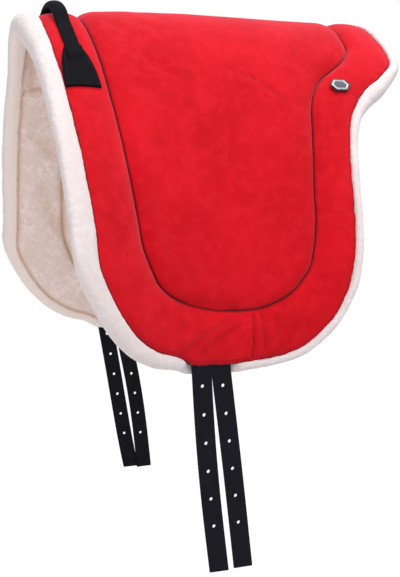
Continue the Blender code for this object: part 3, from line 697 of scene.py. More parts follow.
rows = []
tops = []
shade_marks = []
widths = np.hypot(*(seam_loop - edge_loop).T)
near_tab = np.clip(1 - off_tab(edge_loop) / TAB_SHADE_REACH, 0, 1)
steps = [(0, distance) for distance in HEM_ROWS]
steps += [(i / MIDDLE_ROWS, 0) for i in range(1, MIDDLE_ROWS)]
steps += [(1, -distance) for distance in CHANNEL_ROWS[::-1]]
for middle_share, distance in steps:
    if 0 < middle_share < 1:
        room = widths - HEM_ROWS[-1] - CHANNEL_ROWS[-1]
        from_edge = HEM_ROWS[-1] + room * middle_share
    else:
        from_edge = widths * middle_share + distance
    from_seam = widths - from_edge
    share = from_edge / widths
    row = edge_loop + (seam_loop - edge_loop) * share[:, None]
    row = row + scallops * ((1 - share) ** SCALLOP_FADE)[:, None]
    rows.append(row)
    top = cover_top(row[:, 0], from_edge, from_seam)
    top = top + PUCKER_HEIGHT * seam_puckers * np.exp(-from_seam / PUCKER_REACH)
    top = top + PUCKER_HEIGHT * edge_puckers * np.exp(-from_edge / PUCKER_REACH)
    wrinkled = wrinkles(row) * np.clip(from_edge / HEM_HOLD, 0, 1)
    tops.append(top + wrinkled * np.clip(from_seam / SEAM_HOLD, 0, 1))
    # Painted shade: darker in the seam, at the rim, in deep folds and along the hem by the tabs.
    dark = SEAM_SHADE * line(from_seam, SEAM_LINE) + RIM_SHADE * line(from_edge, RIM_LINE)
    dark = dark + FOLD_SHADE * np.clip(drawn_in(row, FOLDS) / FOLD_DEEP, 0, 1) ** 2
    shade_marks.append(np.clip(dark + HEM_SHADE * near_tab * line(from_edge - HEM_INSET, HEM_LINE), 0, 1))
border_nodes = np.vstack(rows)
border_top = np.concatenate(tops) + swell(border_nodes) - drawn_in(border_nodes, FOLDS)
border = layer(
    "border_panel",
    border_nodes,
    ring_cells(len(rows), loop_count),
    border_top - COVER_THICKNESS,
    border_top,
)
border.data.materials.append(suede)
mark(border, "painted_crease_shade", np.concatenate(shade_marks))
mark(border, "smudge_share", smudged(border_nodes))
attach(border, "pad")
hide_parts("border_cover", "foam_core")

rings = [seam_loop - seam_out * distance for distance in CHANNEL_ROWS]
inner_nodes, inner_cells = inside_grid(rings[-1], FINENESS)
far_off = PUFF_REACH * 2
tops = []
for ring, distance in zip(rings, CHANNEL_ROWS):
    top = cover_top(ring[:, 0], far_off, distance)
    tops.append(top + PUCKER_HEIGHT * seam_puckers * math.exp(-distance / PUCKER_REACH))
inner_seam = nearest(inner_nodes, seam_loop)
tops.append(cover_top(inner_nodes[:, 0], far_off, inner_seam))
seat_nodes = np.vstack([*rings, inner_nodes])
from_seam = np.concatenate([np.repeat(CHANNEL_ROWS, loop_count), inner_seam])
seat_top = np.concatenate(tops) + swell(seat_nodes) - drawn_in(seat_nodes, SEAT_CREASES)
seat_top = seat_top + wrinkles(seat_nodes) * np.clip(from_seam / SEAM_HOLD, 0, 1)
last_ring = (len(rings) - 1) * loop_count
seat_cells = ring_cells(len(rings), loop_count)
seat_cells += [tuple(i + last_ring for i in cell) for cell in inner_cells]
seat = layer("seat_panel", seat_nodes, seat_cells, seat_top - COVER_THICKNESS, seat_top)
seat.data.materials.append(suede)
# Painted shade in the seam channel and in the seat's creases.
creased = FOLD_SHADE * np.clip(drawn_in(seat_nodes, SEAT_CREASES) / FOLD_DEEP, 0, 1)
mark(seat, "painted_crease_shade", SEAM_SHADE * line(from_seam, SEAM_LINE) + creased)
mark(seat, "smudge_share", smudged(seat_nodes))
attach(seat, "pad")
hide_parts("seat_cover")

# Fleece lining.
# Short-pile plush fleece, quilted to the pad along the same seam, which shows as a groove in it.
# It lies against the horse, and the pile is brushed flat in soft patches.
LINING_ROWS = 22
LINING_THICKNESS = 7 * MM
LINING_LEAST = 1 * MM
LINING_PINCH = 2.5 * MM
LINING_FRONT_OVER = 5 * MM
GROOVE_DEPTH = 3.6 * MM
GROOVE_REACH = 4 * MM
GROOVE_LINE = 4 * MM
SEAM_GROOVE_SHADE = 0.8
EDGE_GROOVE_SHADE = 0.9
DEEP_CREASE = 6 * MM
PILE_CLUMP = 8 * MM
PILE_RELIEF = 0.9 * MM
LINING_SWELL = 34 * MM
LINING_RELIEF = 3 * MM
PLUSH_CLUMP = 7 * MM
PLUSH_FIBRE = 1.6 * MM
CLUMP_RELIEF = 1.6 * MM
FIBRE_RELIEF = 0.8 * MM

# Creases in the lining: start and end in the pattern, depth and width
LINING_CREASES = (
    (-246, 126, -205, 119, 4.0, 5.0),
    (-240, 40, -236, 112, 3.0, 7.0),
    (-232, 200, -200, 232, 1.8, 8.0),
    (-214, 290, -190, 360, 1.6, 8.0),
    (-150, 250, -120, 330, 1.2, 8.0),
)


def plush(name, hollow, pile, tip, groove, matting, depth, patch):
    """Plush fleece: fibres finer than the render shows, so their clumps carry the look. It is matt,
    with light caught at the tips, a warmer tone between clumps and painted shade in grooves."""
    made, tree, shader = new_material(
        name,
        Roughness=1.0,
        Sheen_Weight=0.25,
        Sheen_Roughness=0.6,
        Sheen_Tint=linear("#F6F2FF"),
        Specular_IOR_Level=0.08,
    )
    clumps = patterned(tree, PLUSH_CLUMP, 2, 0.5)
    fibres = patterned(tree, PLUSH_FIBRE, 3, 0.7)
    matted = ranged(tree, patterned(tree, patch, 2, 0.5), 0.35, 0.7)
    base = mixed(tree, ranged(tree, clumps, 0.3, 0.62), linear(hollow), linear(pile))
    base = mixed(tree, ranged(tree, matted, 0, 1, matting, 0), base, linear(hollow))
    base = mixed(tree, ranged(tree, fibres, 0.45, 0.75, 0, 0.5), base, linear(tip))
    # Painted shade: the shade colour mixed in by the attribute, in grooves and under the roll.
    base = mixed(tree, attribute(tree, "painted_shade_tone"), base, linear(groove))
    dress(tree, shader, base, (fibres, 0.6, FIBRE_RELIEF), (clumps, depth, CLUMP_RELIEF))
    return made


# The lining and the roll are one fleece. This copy is set warmer than the roll's as painted shade.
lining_fleece = plush(
    "lining_plush_fleece_painted_shade", "#DFC8BE", "#F0DBD7", "#FBF3F6", "#C8A486",
    matting=0.7, depth=0.8, patch=26 * MM,
)


def front_share(y):
    """0 from the tab rearward, rising to 1 at the front edge."""
    return np.clip((tab_front - y) / (tab_front + FRONT_REACH), 0, 1)


lining_over = LINING_FRONT_OVER * front_share(cut_loop[:, 0])
lining_edge = cut_loop + outward_of(cut_loop) * lining_over[:, None]
lining_widths = np.hypot(*(seam_loop - lining_edge).T)
rows = []
from_edges = []
from_seams = []
for row in range(LINING_ROWS + 1):
    share = 0.5 - 0.5 * math.cos(math.pi * row / LINING_ROWS)
    rows.append(lining_edge + (seam_loop - lining_edge) * share)
    from_edges.append(lining_widths * share)
    from_seams.append(lining_widths * (1 - share))
inner_nodes, inner_cells = inside_grid(seam_loop, FINENESS)
from_edges.append(np.full(len(inner_nodes), far_off))
from_seams.append(nearest(inner_nodes, seam_loop))
lining_nodes = np.vstack([*rows, inner_nodes])
from_edge = np.concatenate(from_edges)
from_seam = np.concatenate(from_seams)
last_row = (len(rows) - 1) * loop_count
lining_cells = ring_cells(len(rows), loop_count)
lining_cells += [tuple(i + last_row for i in cell) for cell in inner_cells]
lining_low = LINING_PINCH * (2 - fullness(from_edge) - fullness(from_seam))
lining_low = lining_low + GROOVE_DEPTH * np.exp(-from_seam / GROOVE_REACH)
lining_low = lining_low + PILE_RELIEF * ripple(lining_nodes, PILE_CLUMP, 31.3)
lining_low = lining_low + LINING_RELIEF * ripple(lining_nodes, LINING_SWELL, 35.1)
creased = drawn_in(lining_nodes, LINING_CREASES)
lining_low = lining_low + creased
lining_high = np.maximum(lining_low + LINING_LEAST, LINING_THICKNESS)
lining = layer("fleece_underside", lining_nodes, lining_cells, lining_low, lining_high)
lining.data.materials.append(lining_fleece)
# Painted shade: a tan along the seam's groove, at the lining's edge and in its creases.
grooves = SEAM_GROOVE_SHADE * line(from_seam, GROOVE_LINE)
grooves = grooves + EDGE_GROOVE_SHADE * line(from_edge, GROOVE_LINE)
mark(lining, "painted_shade_tone", np.clip(grooves + creased / DEEP_CREASE, 0, 1))
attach(lining, "pad")
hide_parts("fleece_lining")

# Fleece edge roll.
# The same fleece turned over the whole edge as a soft roll, about as thick as the pad.
# It is pressed flat where the girth straps leave the pad.
ROLL_FINENESS = 20
ROLL_POINTS = 40
ROLL_SINK = 1 * MM
ROLL_BULGE = 12.5 * MM
ROLL_PROUD = 3 * MM
FRONT_ROLL_BULGE = 24.5 * MM
FRONT_ROLL_PROUD = 5 * MM
ROLL_CENTRE_SHARE = 0.42
ROLL_INNER_POWER = 4
ROLL_OUTER_POWER = 2.3
ROLL_TUFT = 4.5 * MM
ROLL_TUFT_HEIGHT = 0.6 * MM
ROLL_LUMP = 30 * MM
ROLL_LUMP_HEIGHT = 0.8 * MM
ARCH_REACH = 80 * MM
ARCH_BULGE = 4 * MM
ARCH_PROUD = 3.5 * MM
SHOULDER_PLACE = 110 * MM
SHOULDER_REACH = 70 * MM
SHOULDER_EASE = 2.5 * MM
LOW_PLACE = 280 * MM
LOW_SOFTNESS = LOW_PLACE / 12
NEAR_LOW_BULGE = 4 * MM
FAR_LOW_BULGE = -2 * MM
# Painted shade on the roll's underside: how strong, where it starts round the roll, how fast it
# grows
UNDERSIDE_SHADE_SHARE = 0.7
UNDERSIDE_SHADE_START = 0.1
UNDERSIDE_SHADE_RAMP = 1.4
UNDER_RAMP = 1.5
CAP_PLACE = (166 * MM, 188 * MM)
CAP_REACH = 62 * MM
CAP_BULGE = 8 * MM
TAB_ROLL_TOP = 15 * MM
TAB_PRESS_REACH = 6 * MM
TAB_PRESS_SOFTNESS = 2 * MM

# The roll's copy of the same fleece, set greyer and bluer than the lining's as painted light.
roll_fleece = plush(
    "roll_plush_fleece_painted_light", "#DED0CB", "#E1D8DB", "#E9E3EC", "#F6E4DA",
    matting=0.45, depth=0.35, patch=42 * MM,
)


def powered(value, power):
    """The value's size to a power, with its own sign."""
    return math.copysign(abs(value) ** power, value)


roll_loop = full_loop(smooth_nodes(EDGE_SHARES, ROLL_FINENESS, EDGE_CORNERS))
roll_out = outward_of(roll_loop)
pressed = fade(off_tab(roll_loop) - TAB_PRESS_REACH, TAB_PRESS_SOFTNESS)
to_front = front_share(roll_loop[:, 0])
to_arch = to_front * line(roll_loop[:, 1], ARCH_REACH)
down = np.abs(roll_loop[:, 1])
from_cap = np.hypot(roll_loop[:, 0] - CAP_PLACE[0], down - CAP_PLACE[1])
bulge = ROLL_BULGE + (FRONT_ROLL_BULGE - ROLL_BULGE) * to_front + ARCH_BULGE * to_arch
bulge = bulge + CAP_BULGE * line(from_cap, CAP_REACH)
bulge = bulge - SHOULDER_EASE * to_front * line(down - SHOULDER_PLACE, SHOULDER_REACH)
lower = fade(LOW_PLACE - down, LOW_SOFTNESS)
bulge = bulge + to_front * lower * np.where(roll_loop[:, 1] > 0, NEAR_LOW_BULGE, FAR_LOW_BULGE)
roll_loop = roll_loop + roll_out * rear_over(roll_loop)
bulge = bulge - rear_over(roll_loop)[:, 0]
proud = ROLL_PROUD + (FRONT_ROLL_PROUD - ROLL_PROUD) * to_front + ARCH_PROUD * to_arch
high = EDGE_HEIGHT + proud + (TAB_ROLL_TOP - EDGE_HEIGHT - proud) * pressed
low = LINING_PINCH - ROLL_PROUD
rings = []
underside_shade = []
for turn in 2 * math.pi * (np.arange(ROLL_POINTS) + 0.5) / ROLL_POINTS:
    rise, out = math.sin(turn), math.cos(turn)
    # Painted shade: the roll's lower side is tinted a warmer tone.
    warm = min(1, max(0, UNDERSIDE_SHADE_START - UNDERSIDE_SHADE_RAMP * rise))
    underside_shade.append(np.full(len(roll_loop), UNDERSIDE_SHADE_SHARE * warm))
    inner = LINING_FRONT_OVER * to_front * min(1, max(0, -UNDER_RAMP * rise)) - ROLL_SINK
    centre = inner + (bulge - inner) * ROLL_CENTRE_SHARE
    power = 2 / (ROLL_OUTER_POWER if out > 0 else ROLL_INNER_POWER)
    reach = centre + np.where(out > 0, bulge - centre, centre - inner) * powered(out, power)
    height = (high + low) / 2 + (high - low) / 2 * powered(rise, power)
    place = roll_loop + roll_out * reach[:, None]
    on_roll = drape(*place.T, height)
    lift = ROLL_TUFT_HEIGHT * ripple(on_roll, ROLL_TUFT, 41.7)
    lift = lift + ROLL_LUMP_HEIGHT * ripple(on_roll, ROLL_LUMP, 44.9)
    lift = lift * (1 - pressed)
    place = place + roll_out * (lift * out)[:, None]
    rings.append(drape(*place.T, height + lift * rise))
roll_faces = ring_cells(len(rings), len(roll_loop), closed=True)
roll = new_piece("fleece_roll", np.vstack(rings), roll_faces)
roll.data.materials.append(roll_fleece)
mark(roll, "painted_shade_tone", np.concatenate(underside_shade))
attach(roll, "pad")
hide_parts("fleece_edge_roll")

# Sewing.
# Thick thread in a lockstitch: along the seam channel, round the hem and round the handle patches.
# Each stitch is a short length of thread with its ends pulled into the cloth.
STITCH_LENGTH = 3.4 * MM
STITCH_PITCH = 4.4 * MM
THREAD_RADIUS = 0.4 * MM
STITCH_SIDES = 6
STITCH_PINCH = 0.6
STITCH_SINK = 0.8 * THREAD_RADIUS
STITCH_SIGHT = 1 * MM
THREAD_STRAND = 0.8 * MM

bpy.ops.mesh.primitive_cylinder_add(
    vertices=STITCH_SIDES, radius=THREAD_RADIUS, depth=STITCH_LENGTH, rotation=(0, math.pi / 2, 0)
)
stitch = bpy.context.active_object
bpy.ops.object.transform_apply(rotation=True)
bpy.ops.object.mode_set(mode="EDIT")
bpy.ops.mesh.select_all(action="SELECT")
bpy.ops.mesh.bisect(plane_co=(STITCH_LENGTH / 4, 0, 0), plane_no=(1, 0, 0))
bpy.ops.mesh.select_all(action="SELECT")
bpy.ops.mesh.bisect(plane_co=(-STITCH_LENGTH / 4, 0, 0), plane_no=(1, 0, 0))
bpy.ops.mesh.select_all(action="DESELECT")
bpy.ops.object.mode_set(mode="OBJECT")
for vertex in stitch.data.vertices:
    vertex.select = abs(vertex.co.x) > STITCH_LENGTH / 3
bpy.ops.object.mode_set(mode="EDIT")
bpy.ops.transform.resize(value=(1, STITCH_PINCH, STITCH_PINCH))
bpy.ops.transform.translate(value=(0, 0, -STITCH_SINK))
bpy.ops.object.mode_set(mode="OBJECT")
stitch_points = np.array([vertex.co for vertex in stitch.data.vertices])
stitch_faces = [tuple(face.vertices) for face in stitch.data.polygons]
bpy.data.objects.remove(stitch)


def sew(name, path, ups, thread, closed=False):
    """A row of stitches along the path, each a copy of the one stitch."""
    path, ups = np.array(path), np.array(ups)
    if closed:
        path, ups = np.vstack([path, path[:1]]), np.vstack([ups, ups[:1]])
    walked = np.concatenate([[0], np.cumsum(np.linalg.norm(np.diff(path, axis=0), axis=1))])
    count = int(walked[-1] / STITCH_PITCH)
    stops = (np.arange(count) + 0.5) * walked[-1] / count
    points = []
    faces = []
    for stop in stops:
        sights = (stop - STITCH_SIGHT, stop + STITCH_SIGHT)
        ends = [[np.interp(sight, walked, path[:, k]) for k in range(3)] for sight in sights]
        middle = np.mean(ends, axis=0)
        along = np.subtract(ends[1], ends[0])
        along = along / np.linalg.norm(along)
        up = np.array([np.interp(stop, walked, ups[:, k]) for k in range(3)])
        side = np.cross(up, along)
        side = side / np.linalg.norm(side)
        up = np.cross(along, side)
        first = len(points) * len(stitch_points)
        points.append(middle + stitch_points @ np.array([along, side, up]))
        faces += [tuple(i + first for i in face) for face in stitch_faces]
    made = new_piece(name, np.vstack(points), faces)
    made.data.materials.append(thread)
    return made


def bonded_thread(name, dark, light):
    """Bonded polyester thread: smooth filament, so a little glossier than the cloth round it."""
    made, tree, shader = new_material(name, Roughness=0.7, Specular_IOR_Level=0.2)
    strands = patterned(tree, THREAD_STRAND, 1, 0.5)
    dress(tree, shader, mixed(tree, strands, linear(dark), linear(light)))
    return made


red_thread = bonded_thread("dark_red_thread", "#A00E1A", "#BA1422")
black_thread = bonded_thread("black_thread", "#08080B", "#121218")

seam_height = cover_top(seam_loop[:, 0], far_off, 0) + PUCKER_HEIGHT * seam_puckers
seam_height = seam_height + swell(seam_loop)
ups = up_from(*seam_loop.T)
seam_row = sew("seam_stitching", drape(*seam_loop.T, seam_height), ups, red_thread, closed=True)
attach(seam_row, "pad")
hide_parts("quilting_thread")

hem_loop = edge_loop - edge_out * HEM_INSET
hem_height = cover_top(hem_loop[:, 0], HEM_INSET, far_off) + swell(hem_loop)
hem_height = hem_height - drawn_in(hem_loop, FOLDS)
hem_height = hem_height + wrinkles(hem_loop) * HEM_INSET / HEM_HOLD
hem_height = hem_height + PUCKER_HEIGHT * edge_puckers * math.exp(-HEM_INSET / PUCKER_REACH)
hem_row = sew(
    "hem_stitching",
    drape(*hem_loop.T, hem_height),
    up_from(*hem_loop.T),
    red_thread,
    closed=True,
)
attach(hem_row, "pad")
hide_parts("hem_thread", "tab_stitching_left", "tab_stitching_right")

# Girth webbing and billets.
# Flat black polypropylene webbing, 25 mm wide, that runs over the seat between foam and cover.
# It leaves the pad under each tab as two billets, each punched with six holes for the girth buckle.
WEB_WIDTH = 25 * MM
WEB_THICKNESS = 2 * MM
BILLET_LENGTH = 256 * MM
HOLE_COUNT = 6
HOLE_PITCH = 35 * MM
FIRST_HOLE = 21 * MM
HOLE_RADIUS = 2.2 * MM
HOLE_SIDES = 20
RIB_PITCH = 2 * MM
RIB_RELIEF = 0.12 * MM
SELVEDGE_DROP = 0.3 * MM
SELVEDGE_SHARE = 0.46
BILLET_SHARP_ANGLE = math.radians(35)
WEAVE_RIB = 1.6 * MM
WEAVE_RIB_RELIEF = 0.35 * MM
WEAVE_CORD = 1.1 * MM
WEAVE_CORD_RELIEF = 0.25 * MM
WEB_WEAR = 9 * MM
BOW = 1.6 * MM
UNDER_COVER = 8 * MM
END_SKEW = 4 * MM

# How far each billet sways sideways, halfway down and at its end (+ towards the tail)
SWAYS = {
    "billet_left_front": (-3.2, 0),
    "billet_left_rear": (1.0, 2.2),
    "billet_right_front": (3.2, 10),
    "billet_right_rear": (5.5, 0),
}


def banded(tree, pitch, direction):
    """Slightly uneven bands on Object coordinates, so far apart."""
    place = add(tree, "TexCoord").outputs["Object"]
    scale = 2 * math.pi / (20 * pitch)
    inputs = {"Vector": place, "Scale": scale, "Distortion": 0.6, "Detail": 1.0}
    return add(tree, "TexWave", inputs, bands_direction=direction).outputs["Fac"]


# Polypropylene webbing: woven flat in a fine rib, smooth filament with a faint gloss on each rib.
webbing, tree, shader = new_material("black_ribbed_webbing", Roughness=0.7, Specular_IOR_Level=0.1)
ribs = banded(tree, WEAVE_RIB, "Z")
cords = banded(tree, WEAVE_CORD, "Y")
wear = patterned(tree, WEB_WEAR, 3, 0.6)
base = mixed(tree, ranged(tree, wear, 0.35, 0.75), linear("#0D0D14"), linear("#14141D"))
base = mixed(tree, ranged(tree, ribs, 0.4, 1, 0, 0.4), base, linear("#1C1C26"))
dress(tree, shader, base, (cords, 0.4, WEAVE_CORD_RELIEF), (ribs, 0.6, WEAVE_RIB_RELIEF))

for place in ("front", "rear"):
    web = frame["nodes"]["girth_web_" + place]
    web.data.materials.clear()
    web.data.materials.append(webbing)

for joint in frame["joints"]:
    if not joint["child"].startswith("billet"):
        continue
    side = 1 if joint["pos_m"][0] > 0 else -1
    lean = math.atan2(abs(joint["axis"][2]), abs(joint["axis"][1]))
    bpy.ops.mesh.primitive_grid_add(
        x_subdivisions=int(WEB_WIDTH / RIB_PITCH),
        y_subdivisions=int((BILLET_LENGTH + UNDER_COVER) / RIB_PITCH) * 2,
        size=1,
    )
    billet = bpy.context.active_object
    billet.name = joint["child"] + "_webbing"
    billet.scale = (WEB_WIDTH, BILLET_LENGTH + UNDER_COVER, 1)
    billet.location = (0, UNDER_COVER / 2, 0)
    bpy.ops.object.transform_apply(location=True, scale=True)
    for vertex in billet.data.vertices:
        x, y, _ = vertex.co
        share = max(0, 0.5 - y / BILLET_LENGTH)
        rib = RIB_RELIEF * math.cos(2 * math.pi * y / RIB_PITCH)
        selvedge = SELVEDGE_DROP if abs(x) > SELVEDGE_SHARE * WEB_WIDTH else 0
        vertex.co.z = rib - selvedge + BOW * math.sin(math.pi * share) * share
    thicken = billet.modifiers.new("thickness", "SOLIDIFY")
    thicken.thickness = WEB_THICKNESS - 2 * RIB_RELIEF
    thicken.offset = 0
    punches = []
    for i in range(HOLE_COUNT):
        drop = FIRST_HOLE + i * HOLE_PITCH
        bpy.ops.mesh.primitive_cylinder_add(
            vertices=HOLE_SIDES,
            radius=HOLE_RADIUS,
            depth=WEB_WIDTH,
            location=(0, BILLET_LENGTH / 2 - drop, 0),
        )
        punches.append(bpy.context.active_object)
    for punch in punches:
        cut = billet.modifiers.new("hole", "BOOLEAN")
        cut.operation = "DIFFERENCE"
        cut.solver = "EXACT"
        cut.object = punch
    bpy.context.view_layer.objects.active = billet
    for modifier in list(billet.modifiers):
        bpy.ops.object.modifier_apply(modifier=modifier.name)
    for punch in punches:
        bpy.data.objects.remove(punch)
    bpy.ops.object.select_all(action="DESELECT")
    billet.select_set(True)
    bpy.ops.object.shade_smooth_by_angle(angle=BILLET_SHARP_ANGLE)
    middle_sway, end_sway = SWAYS[joint["child"]]
    for vertex in billet.data.vertices:
        share = max(0, 0.5 - vertex.co.y / BILLET_LENGTH)
        vertex.co.y -= END_SKEW * side * vertex.co.x / WEB_WIDTH * share**6
        vertex.co.x += side * MM * (middle_sway * math.sin(math.pi * share) + end_sway * share**3)
    down = Vector((0, math.sin(lean), -math.cos(lean)))
    outer = Vector((side, 0, 0))
    across = (-down).cross(outer)
    turn = Matrix((across, -down, outer)).transposed().to_4x4()
    root = Vector(joint["pos_m"])
    billet.data.transform(Matrix.Translation(root + down * BILLET_LENGTH / 2) @ turn)
    billet.data.materials.clear()
    billet.data.materials.append(webbing)
    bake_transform(billet)
    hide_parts(joint["child"])

# Grab handle.
# A loop of webbing rolled and sewn round a soft core, flattened where it comes down on the border.
# Each end spreads under a wide folded patch that is stitched down all round.
HANDLE_REACH = 218 * MM
HANDLE_ROOT_REACH = 219 * MM
HANDLE_SPAN = 66 * MM
HANDLE_JOINT = 42 * MM
HANDLE_RISE = 8.5 * MM
HANDLE_ARCH_POWER = 1.5
HANDLE_ROUND_SHARE = 0.3
HANDLE_ROUND_POWER = 2.3
HANDLE_FLAT_POWER = 5
HANDLE_WIDTH = 18 * MM
HANDLE_THICKNESS = 10 * MM
HANDLE_END_THICKNESS = 5 * MM
LEG_THICKNESS = 2.4 * MM
LEG_END = 130 * MM
LEG_TAPER_START = LEG_END - 6 * MM
LEG_TAPER = 14 * MM
LEG_SIDE_TAPER = 3 * MM
PATCH_TOP = 112 * MM
PATCH_DROP = 176 * MM
PATCH_THICKNESS = 2.2 * MM
PATCH_FRONT = -241 * MM
PATCH_REAR = -198 * MM
PATCH_GAP = 0.5 * MM
PATCH_FRONT_LAP = 2.5 * MM
PATCH_REAR_LAP = 0.5 * MM
PATCH_FLARE_POWER = 2.3
HANDLE_WEAVE = 1.3 * MM
HANDLE_WEAVE_RELIEF = 0.4 * MM
HANDLE_WEAR = 12 * MM
TUBE_SHARP_ANGLE = math.radians(50)
HANDLE_STATIONS = 121
HANDLE_SIDES = 28
PATCH_STATIONS = 40
PATCH_POINTS = 20
PATCH_ROW_INSET = 3.5 * MM
PATCH_ROW_POINT = 4
PATCH_ROW_LIFT = 0.2 * MM


def handle_place(t):
    """Reach along the spine and free height of the handle's middle line."""
    share = np.minimum(np.abs(t) / HANDLE_SPAN, 1)
    y = -HANDLE_REACH - (HANDLE_ROOT_REACH - HANDLE_REACH) * share
    return y, HANDLE_RISE * (1 - share**2) ** HANDLE_ARCH_POWER


def top_at(y, t):
    """Height of the cover's outer face at places of the pattern, without its wrinkles."""
    nodes = np.stack(np.broadcast_arrays(y, t), -1).reshape(-1, 2)
    top = cover_top(nodes[:, 0], nearest(nodes, edge_loop), nearest(nodes, seam_loop))
    return top.reshape(np.shape(np.broadcast_arrays(y, t)[0]))


def ease(share):
    """A soft step from 0 to 1."""
    share = np.clip(share, 0, 1)
    return share * share * (3 - 2 * share)


def closed_tube(name, rings):
    """A body through rings of points, capped at its ends."""
    rings = np.array(rings)
    stations, sides = rings.shape[:2]
    faces = ring_cells(stations, sides)
    faces.append(tuple(range(sides))[::-1])
    faces.append(tuple(range((stations - 1) * sides, stations * sides)))
    return new_piece(name, rings.reshape(-1, 3), faces, TUBE_SHARP_ANGLE)


rings = []
for t in np.linspace(-LEG_END, LEG_END, HANDLE_STATIONS):
    y, rise = handle_place(t)
    flat = ease((abs(t) / HANDLE_SPAN - HANDLE_ROUND_SHARE) / (1 - HANDLE_ROUND_SHARE))
    thick = HANDLE_THICKNESS + (LEG_THICKNESS - HANDLE_THICKNESS) * flat
    power = 2 / (HANDLE_ROUND_POWER + HANDLE_FLAT_POWER * flat)
    ring = []
    for j in range(HANDLE_SIDES):
        turn = 2 * math.pi * (j + 0.5) / HANDLE_SIDES
        across = HANDLE_WIDTH / 2 * powered(math.cos(turn), power)
        ring.append((y + across, t, thick / 2 * powered(math.sin(turn), power)))
    ring = np.array(ring)
    resting = top_at(ring[:, 0], ring[:, 1]) + PATCH_GAP + thick / 2
    standing = CROWN + rise + HANDLE_END_THICKNESS / 2
    settle = ease((abs(t) - HANDLE_JOINT) / (HANDLE_SPAN - HANDLE_JOINT))
    base = np.maximum(standing + (resting - standing) * settle, resting)
    rings.append(drape(ring[:, 0], ring[:, 1], base + ring[:, 2]))
handle = closed_tube("grab_handle_loop", rings)

# Handle webbing: the same cloth, softer and finer, with a blue-black cast.
handle_webbing, tree, shader = new_material(
    "black_tubular_webbing",
    Roughness=0.7,
    Sheen_Weight=0.01,
    Sheen_Tint=linear("#8A88B4"),
    Specular_IOR_Level=0.04,
)
weave = patterned(tree, HANDLE_WEAVE, 2, 0.6, (0.7, 1.6, 1))
wear = patterned(tree, HANDLE_WEAR, 3, 0.6)
base = mixed(tree, ranged(tree, wear, 0.35, 0.75), linear("#07070C"), linear("#0C0C14"))
base = mixed(tree, ranged(tree, weave, 0.45, 0.85, 0, 0.4), base, linear("#151420"))
dress(tree, shader, base, (weave, 0.6, HANDLE_WEAVE_RELIEF))
handle.data.materials.append(handle_webbing)
low_place = drape(-HANDLE_ROOT_REACH, HANDLE_SPAN, CROWN)
high_place = drape(-HANDLE_ROOT_REACH, 0.5 * HANDLE_SPAN, CROWN + HANDLE_RISE / 2)
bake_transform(handle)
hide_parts("handle_loop")

for side, sign in (("left", 1), ("right", -1)):
    rings = []
    upper = []
    for t in np.linspace(PATCH_TOP, PATCH_DROP, PATCH_STATIONS):
        y, _ = handle_place(t)
        share = np.clip((t - PATCH_TOP) / (PATCH_DROP - PATCH_TOP), 0, 1)
        flare = 1 - (1 - share) ** PATCH_FLARE_POWER
        front = (y - HANDLE_WIDTH / 2 - PATCH_FRONT_LAP) * (1 - flare) + PATCH_FRONT * flare
        rear = (y + HANDLE_WIDTH / 2 + PATCH_REAR_LAP) * (1 - flare) + PATCH_REAR * flare
        steps = 0.5 - 0.5 * np.cos(np.linspace(0, math.pi, PATCH_POINTS))
        across = front + (rear - front) * steps
        over_leg = LEG_THICKNESS * (1 - ease((t - LEG_TAPER_START) / LEG_TAPER))
        outside = np.maximum(np.abs(across - y) - HANDLE_WIDTH / 2, 0)
        over_leg = over_leg * (1 - ease(outside / LEG_SIDE_TAPER))
        base = top_at(across, np.full(PATCH_POINTS, t)) + PATCH_GAP + over_leg
        low_side = drape(across, sign * t, base)
        high_side = drape(across, sign * t, base + PATCH_THICKNESS)
        rings.append(np.vstack([low_side, high_side[::-1]]))
        upper.append(high_side)
    patch = closed_tube("handle_patch_" + side + "_cloth", rings)
    patch.data.materials.append(handle_webbing)
    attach(patch, "pad")
    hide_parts("handle_patch_" + side)
    upper = np.array(upper)
    inset = int(round(PATCH_ROW_INSET / (PATCH_DROP - PATCH_TOP) * (PATCH_STATIONS - 1)))
    spot = PATCH_ROW_POINT
    sewn = upper[inset:-inset]
    row_path = np.vstack(
        [sewn[:, spot], sewn[-1, spot:-spot], sewn[::-1, -spot - 1], sewn[0, -spot:spot:-1]]
    )
    up = up_from(-HANDLE_REACH, sign * (PATCH_TOP + PATCH_DROP) / 2)
    ups = np.tile(up, (len(row_path), 1))
    row = sew("patch_stitches_" + side, row_path + up * PATCH_ROW_LIFT, ups, black_thread)
    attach(row, "pad")
    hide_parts("patch_stitching_" + side)

# Badge.
# A small cast plate with a polished rim round a sunk field, pinned through the border on the left.
# It is bare: the field is plain dark enamel, with painted reflections on it.
BADGE_REACH = 118.5 * MM
BADGE_DROP = 189 * MM
BADGE_LENGTH = 31 * MM
BADGE_HEIGHT = 19 * MM
BADGE_THICKNESS = 1.6 * MM
BADGE_RIM = 1.9 * MM
BADGE_BACKING = 2.1 * MM
BADGE_BEVEL = 0.4 * MM
BADGE_FIELD_DROP = 0.5 * MM
BADGE_FIELD_INSET = 0.3 * MM
BADGE_ROUNDING = 0.25 * MM
BADGE_SHARP_ANGLE = math.radians(30)
NICKEL_SCUFF = 0.9 * MM
ENAMEL_GLINT = 6 * MM
BACKING_SPECKLE = 2 * MM
BADGE_SHARES = ((1, 0), (0.54, 1), (-0.54, 1), (-1, 0), (-0.54, -1), (0.54, -1))

# Nickel plate: bright and smooth on the rim. The field is dark satin enamel, and the backing black.
nickel, tree, shader = new_material("nickel_plate", Metallic=1.0, Base_Color=linear("#AEADB8"))
scuffs = ranged(tree, patterned(tree, NICKEL_SCUFF, 3, 0.6), 0.3, 0.8, 0.24, 0.42)
tree.links.new(scuffs, shader.inputs["Roughness"])
enamel, tree, shader = new_material("dark_satin_enamel", Roughness=0.35, Coat_Weight=0.4)
